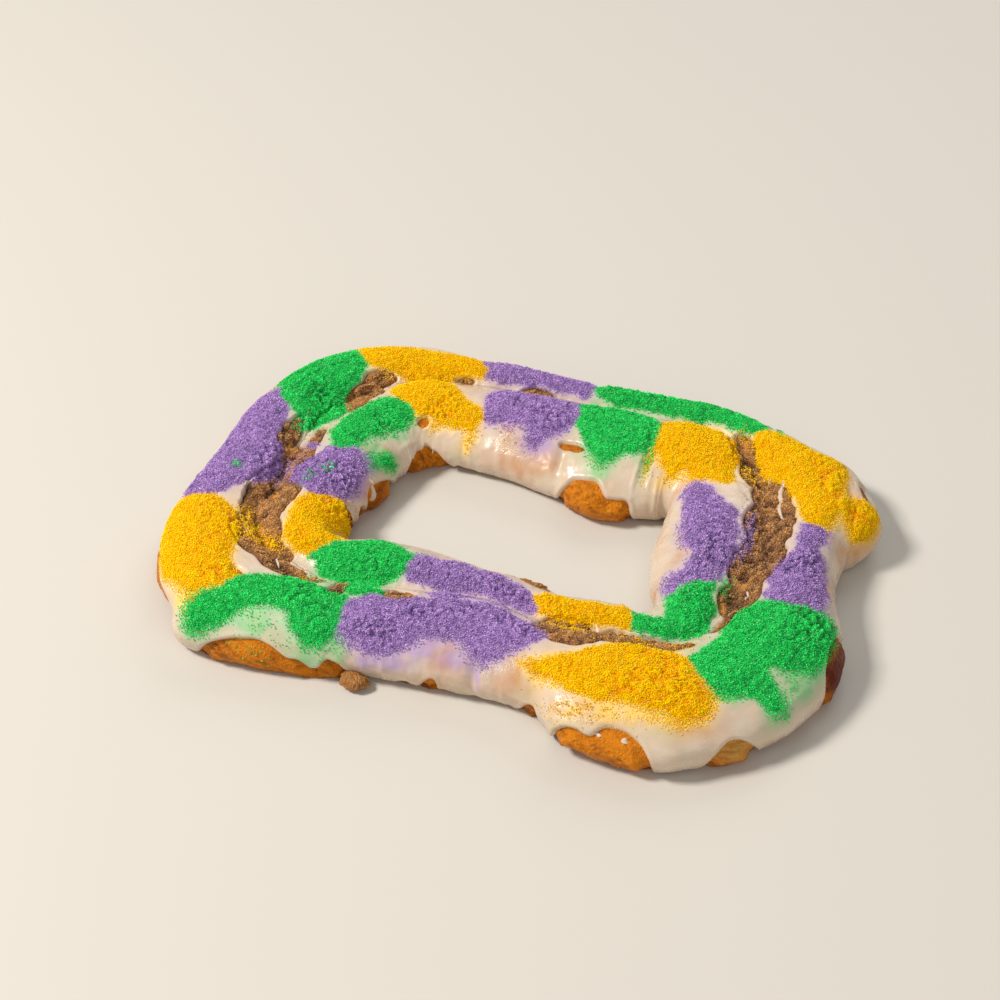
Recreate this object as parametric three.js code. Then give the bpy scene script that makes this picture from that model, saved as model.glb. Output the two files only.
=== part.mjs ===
// King cake: a baked ring of two soft dough strands pressed side by side, with cinnamon filling in the
// groove between them, white icing poured over the top, and patches of purple, green and gold sugar.
//
// Millimetres, +Z up. The cake stands on z = 0 with the middle of its box over the origin, its long
// side along X. A place on the ring is told by two lengths:
//   s  the distance along the ring's centreline, from the middle of the near (-Y) side, going right,
//      so anticlockwise seen from above
//   v  the distance over the ring's skin from the groove, plus towards the outer foot, minus towards
//      the inner foot
import * as THREE from "three";

// ---------------------------------------------------------------- driving dimensions
const RING = {
  halfLength: 163, // centreline: half of its size along X
  halfWidth: 117, // half of its size along Y
  cornerRadius: 78,
  middle: new THREE.Vector2(-3.8, 8.5), // the centreline's middle, so that the whole cake is centred
};
const LAYER = {
  icing: 2.0, // thickness of the icing, whose top is the ring's skin
  sugar: 0.9, // a sugar patch at its rim
  sugarCrown: 1.1, // what a patch gains towards its middle
  sugarSlope: 9, // over this width
  sugarRelief: 0.3, // its unevenness
  gap: 0.4, // between one layer and the next
};
const SECTION = {
  hubHeight: 15, // the section is drawn in rays from a hub this high under the groove
  lobePlace: 0.44, // a lobe's centre, and the rest its half width, as shares of its reach
  grooveRound: 3, // rounding between the two lobes
  grooveWidth: 12, // how far that rounding is held back from raising the groove
};
const GRID = {
  stations: 80, // steps along the ring
  raysPerSide: 40, // rays that measure the skin from groove to foot
  shares: [0, 0.12, 0.25, 0.42, 0.61, 0.81, 1], // columns, as shares of the way to the foot
  closestCut: 0.1, // a rim keeps this share of a step from the grid point it leaves
  furthestCut: 0.85, // and goes no further than this
};
const FILLING = {
  columns: 2, // the filling is this many columns wide on each side of the groove
  middleDepth: 9, // its thickness under the groove
  edgeDepth: 1.6, // and at its two edges
  dent: 0.8, // unevenness of its top
};
const DRIP_CLEARANCE = 4.5; // least distance from the icing's edge down to the foot

const COLOUR = {
  crust: 0xc67a2c,
  cinnamon: 0x93663c,
  icing: 0xeadcc6,
  purple: 0x8660b4,
  green: 0x2db45c,
  gold: 0xf7b90c,
};

// Knots [s, value] round the ring. Reach: how far a strand's side stands out from the centreline.
const OUTER_REACH = [
  [0, 40], [30, 40], [55, 44], [79, 66], [99, 74], [118, 84], [150, 84], [177, 80], [217, 61],
  [247, 54], [277, 56], [299, 74], [325, 70], [350, 52], [372, 44], [396, 40], [487, 40],
  [528, 44], [574, 48], [600, 61], [643, 72], [694, 66], [751, 68], [789, 72], [822, 76],
  [845, 86], [866, 64], [890, 47], [927, 41],
];
const INNER_REACH = [
  [0, 60], [30, 60], [55, 52], [99, 52], [118, 44], [150, 46], [177, 54], [217, 64], [247, 70],
  [299, 70], [350, 66], [396, 68], [448, 80], [487, 68], [528, 57], [574, 53], [600, 56],
  [643, 63], [694, 62], [751, 50], [789, 46], [822, 50], [845, 58], [866, 68], [890, 72],
  [927, 72], [960, 66],
];
// Where the groove runs, outwards from the centreline.
const GROOVE_PLACE = [
  [0, -27], [55, -15], [99, -17], [150, -2], [197, -6], [247, 0], [325, -5], [350, 0], [372, 9],
  [448, 13], [528, 18], [600, 14], [694, 8], [789, 10], [822, 2], [845, -9], [890, -16],
  [960, -24],
];
const OUTER_HEIGHT = [
  [0, 40], [118, 41], [325, 41], [350, 39], [372, 37], [487, 37], [574, 39], [643, 41],
  [789, 42], [845, 41], [866, 40],
];
const INNER_HEIGHT = [
  [0, 35], [118, 35], [177, 38], [197, 40], [247, 41], [448, 41], [487, 39], [528, 38],
  [694, 39], [751, 38], [822, 38], [866, 36], [960, 36],
];

// Swells and creases of the dough: [s, v, half length, half width, height].
const SWELLS = [
  [968, 60, 22, 20, 2.0], [42, 60, 17, 20, 2.2], [16, 74, 6, 22, -3.0], // near side, outer strand
  [878, 50, 26, 22, 1.5], [812, 48, 26, 28, 1.2], [178, 46, 28, 26, 1.2], [108, 60, 24, 24, 1.0],
  [294, 84, 15, 14, 6.0], [300, 62, 18, 7, -2.5], // the lump at the back right corner and its fold
  [512, -62, 24, 22, 3.0], [482, -74, 6, 18, -2.5], [421, -62, 6, 22, -3.0], // back, inner strand
  [376, -40, 24, 24, 1.6], [455, -100, 20, 12, 3.0], [605, -88, 34, 12, 3.0],
  [722, -84, 16, 12, 2.5], [760, -50, 6, 18, -2.0],
];

// Arches in the icing's lower edge, where crust shows: [from s, to s, rise above the foot].
const OUTER_ARCHES = [
  [857, 899, 29], [900, 919, 16], [953, 963, 8], [963, 985, 10], [964, 975, 18], [24, 34, 6],
  [48, 60, 14], [74, 99, 22], [91, 113, 33], [128, 147, 24], [173, 222, 28], [345, 372, 20],
  [420, 452, 22], [500, 522, 12], [560, 590, 18], [655, 690, 20], [725, 748, 14], [788, 849, 25],
];
const INNER_ARCHES = [
  [426, 445, 22], [436, 481, 29], [543, 552, 11], [563, 651, 24], [704, 735, 20], [738, 748, 18],
  [800, 822, 12], [868, 900, 18], [955, 985, 10], [40, 66, 16], [95, 130, 18],
];
// Openings in the icing along the groove, where filling shows: [s, v, half length, half width].
const OPENINGS = [
  [66, 13, 22, 15], [100, 8, 24, 10], [126, 9, 20, 11], [200, 5, 20, 12], [235, 3, 28, 18],
  [275, 4, 28, 18], [303, 5, 18, 14], [335, -2, 20, 10], [362, -2, 15, 12], [520, -2, 13, 6],
  [630, -8, 17, 12], [652, -4, 17, 10], [705, 0, 16, 14], [735, -2, 22, 17], [772, -2, 32, 17],
  [825, 10, 24, 12], [855, 12, 18, 10], [895, 10, 11, 9], [936, 17, 12, 7],
];

// Sugar patches: a colour and the dabs it is strewn in, [s, v, half length, half width].
const OUTER_SUGAR = [
  ["purple", [940, 45, 28, 24], [975, 37, 34, 22], [1005, 36, 28, 22], [1004, 62, 6, 13]],
  ["gold", [62, 46, 14, 10], [88, 48, 26, 22], [112, 49, 24, 31]],
  ["green", [150, 46, 15, 23], [178, 46, 25, 34], [153, 72, 7, 16]],
  ["purple", [208, 44, 14, 20], [230, 40, 24, 16], [262, 38, 20, 11]],
  ["gold", [295, 39, 20, 16], [322, 36, 22, 29], [342, 23, 20, 20]],
  ["gold", [294, 76, 13, 15]],
  ["green", [378, 22, 20, 13], [415, 20, 34, 19], [455, 18, 30, 15]],
  ["purple", [500, 22, 24, 17], [540, 22, 30, 17]],
  ["gold", [590, 18, 22, 16], [616, 28, 20, 20]],
  ["green", [645, 32, 16, 24], [664, 24, 20, 32], [676, 2, 12, 18]],
  ["purple", [700, 41, 22, 21], [738, 37, 34, 27], [765, 38, 22, 25]],
  ["gold", [803, 41, 20, 33], [828, 55, 25, 24]],
  ["green", [862, 58, 13, 30], [880, 45, 26, 26], [898, 46, 15, 20]],
];
const INNER_SUGAR = [
  ["purple", [958, -20, 25, 17], [994, -15, 28, 13]],
  ["gold", [60, -15, 26, 12], [92, -15, 22, 12]],
  ["green", [122, -12, 22, 9], [155, -17, 22, 18], [176, -18, 18, 17], [200, -9, 16, 9]],
  ["purple", [188, -42, 18, 9], [212, -30, 20, 16], [245, -34, 30, 21], [280, -44, 26, 16],
    [312, -50, 24, 11]],
  ["gold", [334, -30, 18, 14], [360, -34, 22, 22], [390, -35, 24, 36], [410, -32, 13, 32]],
  ["green", [436, -32, 15, 27], [452, -36, 16, 37], [470, -22, 16, 24]],
  ["purple", [496, -26, 18, 21], [522, -28, 24, 22], [505, -48, 9, 17]],
  ["gold", [568, -46, 16, 15], [586, -34, 18, 26], [603, -23, 17, 28]],
  ["green", [635, -43, 24, 19], [672, -40, 36, 17], [700, -35, 20, 12]],
  ["purple", [733, -42, 18, 17], [752, -43, 14, 17]],
  ["gold", [782, -44, 17, 21], [805, -37, 24, 20], [835, -24, 22, 17]],
  ["green", [872, -21, 18, 18], [900, -22, 26, 21], [920, -22, 15, 15]],
];
const RIM_WANDER = 2; // how far the rims of sugar and icing wander off their dabs
const PATCH_PARTING = 1; // between one colour's rim and the next

// Lumps of filling that ran out and baked: one against the outer foot on the near side, and one on
// the inner strand. Half sizes along the ring, away from and towards the cake's middle; the height,
// and the share of it left in the toe that reaches towards the middle.
const LUMPS = [
  { name: "cinnamon_lump_foot", s: 925, beyondFoot: 8.5, along: 9, away: 9, towards: 5, high: 11,
    toe: 0.35 },
  { name: "cinnamon_lump_top", s: 32, v: -33, along: 14, away: 5, towards: 5, high: 4.5, toe: 1 },
];
const LUMP_BUMPS = 0.12; // unevenness, as a share of the lump
const LUMP_TOE = 0.2; // where the toe starts, as a share of the half size

// ---------------------------------------------------------------- the ring's skin
const STRAIGHT_X = 2 * (RING.halfLength - RING.cornerRadius);
const STRAIGHT_Y = 2 * (RING.halfWidth - RING.cornerRadius);
const QUARTER = (Math.PI / 2) * RING.cornerRadius;
const PERIMETER = 2 * (STRAIGHT_X + STRAIGHT_Y) + 4 * QUARTER;
const FOOT_COLUMN = GRID.shares.length - 1;

/** The remainder of a in [0, b). */
const wrap = (a, b) => ((a % b) + b) % b;

/** 0 below zero, 1 above one, and a smooth S between. */
const smoothStep = (t) => THREE.MathUtils.smoothstep(t, 0, 1);

/** A closed curve through knots [s, value] round the ring that never overshoots a knot. */
function loopCurve(knots) {
  const count = knots.length;
  const place = (k) => knots[wrap(k, count)][0] + Math.floor(k / count) * PERIMETER;
  const value = (k) => knots[wrap(k, count)][1];
  const chord = (k) => (value(k + 1) - value(k)) / (place(k + 1) - place(k));
  const slope = (k) => {
    const [before, after] = [chord(k - 1), chord(k)];
    return before * after <= 0 ? 0 : (2 * before * after) / (before + after);
  };
  return (distance) => {
    const s = wrap(distance, PERIMETER);
    let k = knots.findIndex(([knot]) => knot > s) - 1;
    if (k === -2) k = count - 1;
    const span = place(k + 1) - place(k);
    const t = (s - place(k)) / span;
    const rise = smoothStep(t);
    return (
      value(k) * (1 - rise) +
      value(k + 1) * rise +
      span * (t * (1 - t) ** 2 * slope(k) - t * t * (1 - t) * slope(k + 1))
    );
  };
}

const outerReach = loopCurve(OUTER_REACH);
const innerReach = loopCurve(INNER_REACH);
const groovePlace = loopCurve(GROOVE_PLACE);
const outerHeight = loopCurve(OUTER_HEIGHT);
const innerHeight = loopCurve(INNER_HEIGHT);

/** The centreline at s: a point and the outward direction, both in the floor's plane. */
function centreline(distance) {
  let s = wrap(distance + STRAIGHT_X / 2, PERIMETER);
  const corner = new THREE.Vector2(
    RING.halfLength - RING.cornerRadius,
    RING.halfWidth - RING.cornerRadius,
  );
  const sides = [
    { straight: STRAIGHT_X, out: -Math.PI / 2, sign: [1, -1] },
    { straight: STRAIGHT_Y, out: 0, sign: [1, 1] },
    { straight: STRAIGHT_X, out: Math.PI / 2, sign: [-1, 1] },
    { straight: STRAIGHT_Y, out: Math.PI, sign: [-1, -1] },
  ];
  for (const { straight, out, sign } of sides) {
    const turn = s < straight ? 0 : (s - straight) / RING.cornerRadius;
    if (turn < Math.PI / 2) {
      const outward = new THREE.Vector2(Math.cos(out + turn), Math.sin(out + turn));
      const short = Math.max(0, straight - s);
      const point = new THREE.Vector2(corner.x * sign[0], corner.y * sign[1])
        .addScaledVector(outward, RING.cornerRadius)
        .add(new THREE.Vector2(outward.y, -outward.x).multiplyScalar(short))
        .add(RING.middle);
      return { point, outward };
    }
    s -= straight + QUARTER;
  }
  throw new Error("s runs off the ring");
}

/** Where a ray at an angle from straight up leaves an ellipse whose centre stands off the hub. */
function leave(angle, centre, halfWidth, halfHeight) {
  const [across, up] = [Math.sin(angle), Math.cos(angle)];
  const a = (across / halfWidth) ** 2 + (up / halfHeight) ** 2;
  const b = (-2 * centre * across) / halfWidth ** 2;
  const c = (centre / halfWidth) ** 2 - 1;
  return (-b + Math.sqrt(b * b - 4 * a * c)) / (2 * a);
}

/** The sizes of the section at s. */
function sectionSizes(s) {
  const groove = groovePlace(s);
  return {
    groove,
    outer: outerReach(s) - groove,
    inner: innerReach(s) + groove,
    outerHigh: outerHeight(s) - SECTION.hubHeight,
    innerHigh: innerHeight(s) - SECTION.hubHeight,
  };
}

/** A point of the section [outwards, up], on the ray at an angle from straight up: two lobes joined
 * with a rounded groove. */
function sectionPoint(sizes, angle) {
  const place = SECTION.lobePlace;
  const outer = leave(angle, place * sizes.outer, (1 - place) * sizes.outer, sizes.outerHigh);
  const inner = leave(angle, -place * sizes.inner, (1 - place) * sizes.inner, sizes.innerHigh);
  const round = SECTION.grooveRound;
  const reach =
    round * Math.log(Math.exp(outer / round) + Math.exp(inner / round)) -
    round * Math.LN2 * Math.exp(-(((outer - inner) / SECTION.grooveWidth) ** 2));
  return [sizes.groove + reach * Math.sin(angle), SECTION.hubHeight + reach * Math.cos(angle)];
}

/** One side of the section, groove to foot: its points and the length over them. */
function sideLine(sizes, sign) {
  let [low, high] = [Math.PI / 2, Math.PI * 0.8];
  for (let step = 0; step < 30; step++) {
    const middle = (low + high) / 2;
    if (sectionPoint(sizes, sign * middle)[1] > 0) low = middle;
    else high = middle;
  }
  const points = [];
  const lengths = [];
  for (let k = 0; k <= GRID.raysPerSide; k++) {
    points.push(sectionPoint(sizes, (sign * low * k) / GRID.raysPerSide));
    const [before, now] = [points[Math.max(0, k - 1)], points[k]];
    lengths.push((lengths[k - 1] ?? 0) + Math.hypot(now[0] - before[0], now[1] - before[1]));
  }
  return { points, lengths, length: lengths[GRID.raysPerSide] };
}

/** Both sides of the section at s. */
function sidesAt(s) {
  const sizes = sectionSizes(s);
  return { outer: sideLine(sizes, 1), inner: sideLine(sizes, -1) };
}

/** The skin's point at s and a share of the way from the groove to a foot, minus for the inner. */
function skinPoint(s, share, sides = sidesAt(s)) {
  const side = share < 0 ? sides.inner : sides.outer;
  const v = Math.abs(share) * side.length;
  let k = 1;
  while (k < GRID.raysPerSide && side.lengths[k] < v) k++;
  const t = (v - side.lengths[k - 1]) / (side.lengths[k] - side.lengths[k - 1]);
  const [a, b] = [side.points[k - 1], side.points[k]];
  const { point, outward } = centreline(s);
  point.addScaledVector(outward, THREE.MathUtils.lerp(a[0], b[0], t));
  return new THREE.Vector3(point.x, point.y, THREE.MathUtils.lerp(a[1], b[1], t));
}

/** The distance along the ring from one s to another, the short way, with its sign. */
const along = (from, to) => wrap(to - from + PERIMETER / 2, PERIMETER) - PERIMETER / 2;

/** How far inside a dab [s, v, half length, half width] a place is, in millimetres. */
function inDab(s, v, [dabS, dabV, halfLength, halfWidth]) {
  const off = Math.hypot(along(dabS, s) / halfLength, (v - dabV) / halfWidth);
  return (1 - off) * Math.min(halfLength, halfWidth);
}

/** Unevenness between -1 and 1 that closes on itself round the ring. */
function unevenness(s, v) {
  const turn = (2 * Math.PI * s) / PERIMETER;
  return (
    0.5 * Math.sin(31 * turn + v / 9) +
    0.3 * Math.sin(53 * turn - v / 6 + 1.7) +
    0.2 * Math.sin(97 * turn + v / 4 + 0.6)
  );
}

/** The height of the swells and creases at a place. */
function swell(s, v) {
  return SWELLS.reduce((sum, [swellS, swellV, halfLength, halfWidth, height]) => {
    const off = Math.hypot(along(swellS, s) / halfLength, (v - swellV) / halfWidth);
    return sum + height * Math.exp(-2 * off * off);
  }, 0);
}

/** A place on the skin with its swells: its point, its outward normal and its two lengths. */
function placeAt(s, share, sides = sidesAt(s)) {
  const [stepS, stepShare] = [0.5, 0.01];
  const v = share * (share < 0 ? sides.inner : sides.outer).length;
  const ahead = skinPoint(s + stepS, share).sub(skinPoint(s - stepS, share));
  const over = skinPoint(s, Math.min(1, share + stepShare), sides).sub(
    skinPoint(s, Math.max(-1, share - stepShare), sides),
  );
  const normal = over.cross(ahead).normalize();
  const point = skinPoint(s, share, sides).addScaledVector(normal, swell(s, v));
  return { s, v, share, point, normal, sides };
}

/** The skin's grid: for each station a row of places from the inner foot to the outer foot. */
function skinGrid() {
  const shares = [...GRID.shares.slice(1).map((share) => -share).reverse(), ...GRID.shares];
  return Array.from({ length: GRID.stations }, (_, i) => {
    const s = (i * PERIMETER) / GRID.stations;
    const sides = sidesAt(s);
    return shares.map((share) => placeAt(s, share, sides));
  });
}

const skin = skinGrid();
const columnCount = skin[0].length;

/** A grid place moved along its normal. */
const lifted = (place, lift) => place.point.clone().addScaledVector(place.normal, lift);

/** A foot moved along its normal and then slid down the skin to the floor. */
function liftedFoot(place, lift) {
  const point = lifted(place, lift);
  const outward = new THREE.Vector3(place.normal.x, place.normal.y, 0);
  const level = outward.length();
  const slide = (point.z * place.normal.z) / (level * level);
  return point.addScaledVector(outward, slide).setZ(0);
}

// ---------------------------------------------------------------- solids from the grid
/** A buffer geometry of triangles given as triples of points. */
function geometryOf(triangles) {
  const numbers = new Float32Array(triangles.length * 9);
  triangles.flat().forEach((point, k) => point.toArray(numbers, 3 * k));
  const geometry = new THREE.BufferGeometry();
  geometry.setAttribute("position", new THREE.BufferAttribute(numbers, 3));
  geometry.computeVertexNormals();
  return geometry;
}

/** A closed ring through one closed loop of points for each station. Its quads are split one way,
 * and from one index of the loop on the other way, as an underside is that runs back along the loop:
 * so its faces stay parallel to those that it rests on. */
function ringGeometry(loops, underFrom = Infinity) {
  const triangles = [];
  loops.forEach((loop, i) => {
    const next = loops[(i + 1) % loops.length];
    loop.forEach((a, j) => {
      const k = (j + 1) % loop.length;
      if (j < underFrom) triangles.push([a, loop[k], next[k]], [a, next[k], next[j]]);
      else triangles.push([a, loop[k], next[j]], [loop[k], next[k], next[j]]);
    });
  });
  return geometryOf(triangles);
}

/** A sheet that lies on the ring wherever cover(place) is above zero, from one lift to another. Its
 * rim cuts across the grid's triangles, and only its largest piece is kept. */
function sheetGeometry(cover, underLift, topLift) {
  const nodes = skin.map((row) =>
    row.map((place) => {
      const inside = Math.abs(place.share) === 1 ? -1 : cover(place);
      return {
        inside,
        under: lifted(place, underLift(place, inside)),
        top: lifted(place, topLift(place, inside)),
        piece: null,
      };
    }),
  );
  const faces = [];
  nodes.forEach((row, i) => {
    const next = nodes[(i + 1) % nodes.length];
    for (let j = 0; j + 1 < columnCount; j++) {
      faces.push([row[j], row[j + 1], next[j + 1]], [row[j], next[j + 1], next[j]]);
    }
  });

  // Pieces: inside nodes that share a face belong together.
  const rootOf = (node) => {
    while (node.piece) node = node.piece;
    return node;
  };
  const insideNodes = faces.map((face) => face.filter((node) => node.inside > 0));
  for (const group of insideNodes) {
    for (const node of group.slice(1)) {
      const [a, b] = [rootOf(group[0]), rootOf(node)];
      if (a !== b) b.piece = a;
    }
  }
  const sizes = new Map();
  for (const group of insideNodes) {
    if (group.length) sizes.set(rootOf(group[0]), (sizes.get(rootOf(group[0])) ?? 0) + 1);
  }
  const largest = [...sizes].sort((a, b) => b[1] - a[1])[0][0];

  const cuts = new Map();
  const cutBetween = (a, b) => {
    const [from, to] = a.inside > 0 ? [a, b] : [b, a];
    if (!cuts.has(from)) cuts.set(from, new Map());
    if (!cuts.get(from).has(to)) {
      const share = THREE.MathUtils.clamp(
        from.inside / (from.inside - to.inside),
        GRID.closestCut,
        GRID.furthestCut,
      );
      cuts.get(from).set(to, {
        under: from.under.clone().lerp(to.under, share),
        top: from.top.clone().lerp(to.top, share),
        isCut: true,
      });
    }
    return cuts.get(from).get(to);
  };

  const triangles = [];
  faces.forEach((face, index) => {
    const group = insideNodes[index];
    if (!group.length || rootOf(group[0]) !== largest) return;
    const outline = face.flatMap((node, k) => {
      const next = face[(k + 1) % 3];
      const crosses = node.inside > 0 !== next.inside > 0;
      return [...(node.inside > 0 ? [node] : []), ...(crosses ? [cutBetween(node, next)] : [])];
    });
    for (let k = 1; k + 1 < outline.length; k++) {
      const corners = [outline[0], outline[k], outline[k + 1]];
      triangles.push(corners.map((corner) => corner.top));
      triangles.push(corners.map((corner) => corner.under).reverse());
    }
    outline.forEach((a, k) => {
      const b = outline[(k + 1) % outline.length];
      if (a.isCut && b.isCut) {
        triangles.push([a.under, b.under, b.top], [a.under, b.top, a.top]);
      }
    });
  });
  return geometryOf(triangles);
}

// ---------------------------------------------------------------- the pieces
/** A named mesh with its material. */
function piece(name, geometry, colour, roughness) {
  const material = new THREE.MeshStandardMaterial({ color: colour, roughness, metalness: 0 });
  const mesh = new THREE.Mesh(geometry, material);
  mesh.name = name;
  return mesh;
}

const doughLift = -(LAYER.icing + LAYER.gap);

/** The dough's trough, or the filling's underside when clearance is 0: a straight-walled V. */
function troughPoint(row, column, clearance) {
  const depth = column === FOOT_COLUMN ? FILLING.middleDepth : FILLING.edgeDepth;
  return lifted(row[column], doughLift - depth - clearance);
}

/** The baked dough: the skin less the icing, a trough for the filling, and a flat underside. */
function dough() {
  const loops = skin.map((row) => {
    const loop = row.flatMap((place, column) => {
      const off = Math.abs(column - FOOT_COLUMN);
      if (off === FOOT_COLUMN) return [liftedFoot(place, doughLift)];
      if (off > FILLING.columns) return [lifted(place, doughLift)];
      const bend = off === 0 || off === FILLING.columns;
      return bend ? [troughPoint(row, column, LAYER.gap)] : [];
    });
    const middle = loop[0].clone().lerp(loop[loop.length - 1], 0.5);
    return [...loop, middle];
  });
  return piece("dough", ringGeometry(loops), COLOUR.crust, 0.55);
}

/** The cinnamon filling: a ribbon that runs all round, lying in the trough between the strands. */
function cinnamonFilling() {
  const first = FOOT_COLUMN - FILLING.columns;
  const last = FOOT_COLUMN + FILLING.columns;
  const loops = skin.map((row) => {
    const top = row.slice(first, last + 1).map((place) => {
      const dent = (FILLING.dent / 2) * (1 + unevenness(place.s, place.v));
      return lifted(place, doughLift - dent);
    });
    return [...top, ...[last, FOOT_COLUMN, first].map((column) => troughPoint(row, column, 0))];
  });
  const geometry = ringGeometry(loops, last - first + 1);
  return piece("cinnamon_filling", geometry, COLOUR.cinnamon, 0.9);
}

/** How high the icing's edge stands above a foot: the least clearance, and arches over crust. */
function edgeRise(s, arches) {
  return arches.reduce((rise, [from, to, archRise]) => {
    const middle = (from + to) / 2;
    const off = along(middle, s) / ((to - from) / 2);
    return Math.abs(off) < 1 ? Math.max(rise, archRise * Math.sqrt(1 - off * off)) : rise;
  }, DRIP_CLEARANCE);
}

/** How far inside the icing's edge a place is. */
function icingCover({ s, v, sides }) {
  const outer = sides.outer.length - edgeRise(s, OUTER_ARCHES) - v;
  const inner = sides.inner.length - edgeRise(s, INNER_ARCHES) + v;
  const opening = Math.max(...OPENINGS.map((dab) => inDab(s, v, dab)));
  return Math.min(outer, inner, -opening + (RIM_WANDER / 2) * unevenness(s, v));
}

/** The icing: one poured sheet over both strands. */
function icing() {
  const geometry = sheetGeometry(icingCover, () => -LAYER.icing, () => 0);
  return piece("icing", geometry, COLOUR.icing, 0.3);
}

/** How far inside a patch a place is, by the deepest of its dabs. */
function patchCover({ s, v }, dabs) {
  return Math.max(...dabs.map((dab) => inDab(s, v, dab))) + RIM_WANDER * unevenness(s, 1.7 * v);
}

/** The sugar patches, in ring order along each strand. Each keeps off the ones before it. */
function sugarPatches() {
  const rows = [
    ...OUTER_SUGAR.map((row, k) => ({ strand: "outer", number: k + 1, row })),
    ...INNER_SUGAR.map((row, k) => ({ strand: "inner", number: k + 1, row })),
  ];
  return rows.map(({ strand, number, row: [colour, ...dabs] }, index) => {
    const earlier = rows.slice(0, index).map(({ row }) => row.slice(1));
    const cover = (place) =>
      Math.min(
        patchCover(place, dabs),
        ...earlier.map((others) => -patchCover(place, others) - PATCH_PARTING),
      );
    const heap = (place, inside) =>
      LAYER.gap +
      LAYER.sugar +
      LAYER.sugarCrown * smoothStep(inside / LAYER.sugarSlope) +
      LAYER.sugarRelief * unevenness(2 * place.s, place.v);
    const geometry = sheetGeometry(cover, () => LAYER.gap, heap);
    const label = String(number).padStart(2, "0");
    return piece(`sugar_${strand}_${label}_${colour}`, geometry, COLOUR[colour], 0.6);
  });
}

/** A lump of filling with a flat underside, on the floor against the foot or on the icing. */
function fillingLump({ name, s, v, beyondFoot, along: halfLength, away, towards, high, toe }) {
  const geometry = new THREE.IcosahedronGeometry(1, 1);
  const position = geometry.getAttribute("position");
  const corner = new THREE.Vector3();
  for (let k = 0; k < position.count; k++) {
    corner.fromBufferAttribute(position, k);
    const wave = Math.sin(7 * corner.x + 2) * Math.cos(6 * corner.y + 5);
    corner.multiplyScalar(1 + LUMP_BUMPS * wave);
    corner.x *= halfLength;
    corner.z = Math.max(0, corner.z * high * (corner.y > LUMP_TOE ? toe : 1));
    corner.y *= corner.y > 0 ? towards : away;
    position.setXYZ(k, corner.x, corner.y, corner.z);
  }
  geometry.deleteAttribute("uv");
  geometry.deleteAttribute("normal");
  geometry.computeVertexNormals();

  const mesh = piece(name, geometry, COLOUR.cinnamon, 0.9);
  const { outward } = centreline(s);
  const level = new THREE.Vector3(outward.x, outward.y, 0);
  const place = placeAt(s, v === undefined ? 1 : v / sidesAt(s).inner.length);
  const up = v === undefined ? new THREE.Vector3(0, 0, 1) : place.normal;
  const alongRing = level.clone().negate().cross(up).normalize();
  mesh.matrix.makeBasis(alongRing, up.clone().cross(alongRing), up);
  mesh.quaternion.setFromRotationMatrix(mesh.matrix);
  if (v === undefined) mesh.position.copy(place.point.setZ(0).addScaledVector(level, beyondFoot));
  else mesh.position.copy(lifted(place, LAYER.gap));
  return mesh;
}

const cake = new THREE.Group();
cake.add(dough(), cinnamonFilling(), icing(), ...sugarPatches(), ...LUMPS.map(fillingLump));
export default cake;
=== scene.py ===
"""A king cake in its looks: a baked ring of two dough strands under poured icing and coloured sugar.

Lengths are millimetres until a mesh is made. A place on the ring is told by two lengths:
    s  the distance along the ring's centreline, from the middle of the near side, anticlockwise
    v  the distance over the ring's skin from the groove, plus outwards, minus inwards
A place's share is v over the length of its side, so a foot is at 1 or -1. A lift is a height over the
skin, which is the icing's top: the icing is 2 mm thick there and the sugar lies on it.
"""

import logging
import math
from dataclasses import dataclass
from enum import Enum
from typing import NamedTuple

import bmesh
import bpy
import numpy as np
from mathutils import Matrix, Vector

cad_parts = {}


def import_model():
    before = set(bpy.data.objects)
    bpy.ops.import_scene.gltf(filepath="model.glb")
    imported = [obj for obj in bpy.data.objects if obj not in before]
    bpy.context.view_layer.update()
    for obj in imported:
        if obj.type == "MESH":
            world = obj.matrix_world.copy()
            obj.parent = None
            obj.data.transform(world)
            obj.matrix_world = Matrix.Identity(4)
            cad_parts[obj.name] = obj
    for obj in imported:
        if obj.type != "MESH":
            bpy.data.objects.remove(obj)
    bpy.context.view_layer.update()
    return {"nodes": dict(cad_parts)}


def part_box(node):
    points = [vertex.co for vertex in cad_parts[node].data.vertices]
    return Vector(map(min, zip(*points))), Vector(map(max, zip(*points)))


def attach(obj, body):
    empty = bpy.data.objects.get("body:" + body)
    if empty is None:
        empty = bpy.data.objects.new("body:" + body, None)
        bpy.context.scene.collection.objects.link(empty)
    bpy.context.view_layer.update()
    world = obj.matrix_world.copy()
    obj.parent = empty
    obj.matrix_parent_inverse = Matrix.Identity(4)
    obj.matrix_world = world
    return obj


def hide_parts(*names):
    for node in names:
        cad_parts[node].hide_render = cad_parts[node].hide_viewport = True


LOG = logging.getLogger("king_cake")
Array = np.ndarray
MM = 0.001
BODY = "root"


class Colour(Enum):
    """The three colours of the sugar, each with its record slot."""

    PURPLE = "sugar_purple"
    GREEN = "sugar_green"
    GOLD = "sugar_gold"


class Strand(Enum):
    """The two strands of the ring, by the sign of v on them."""

    OUTER = 1
    INNER = -1


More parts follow.
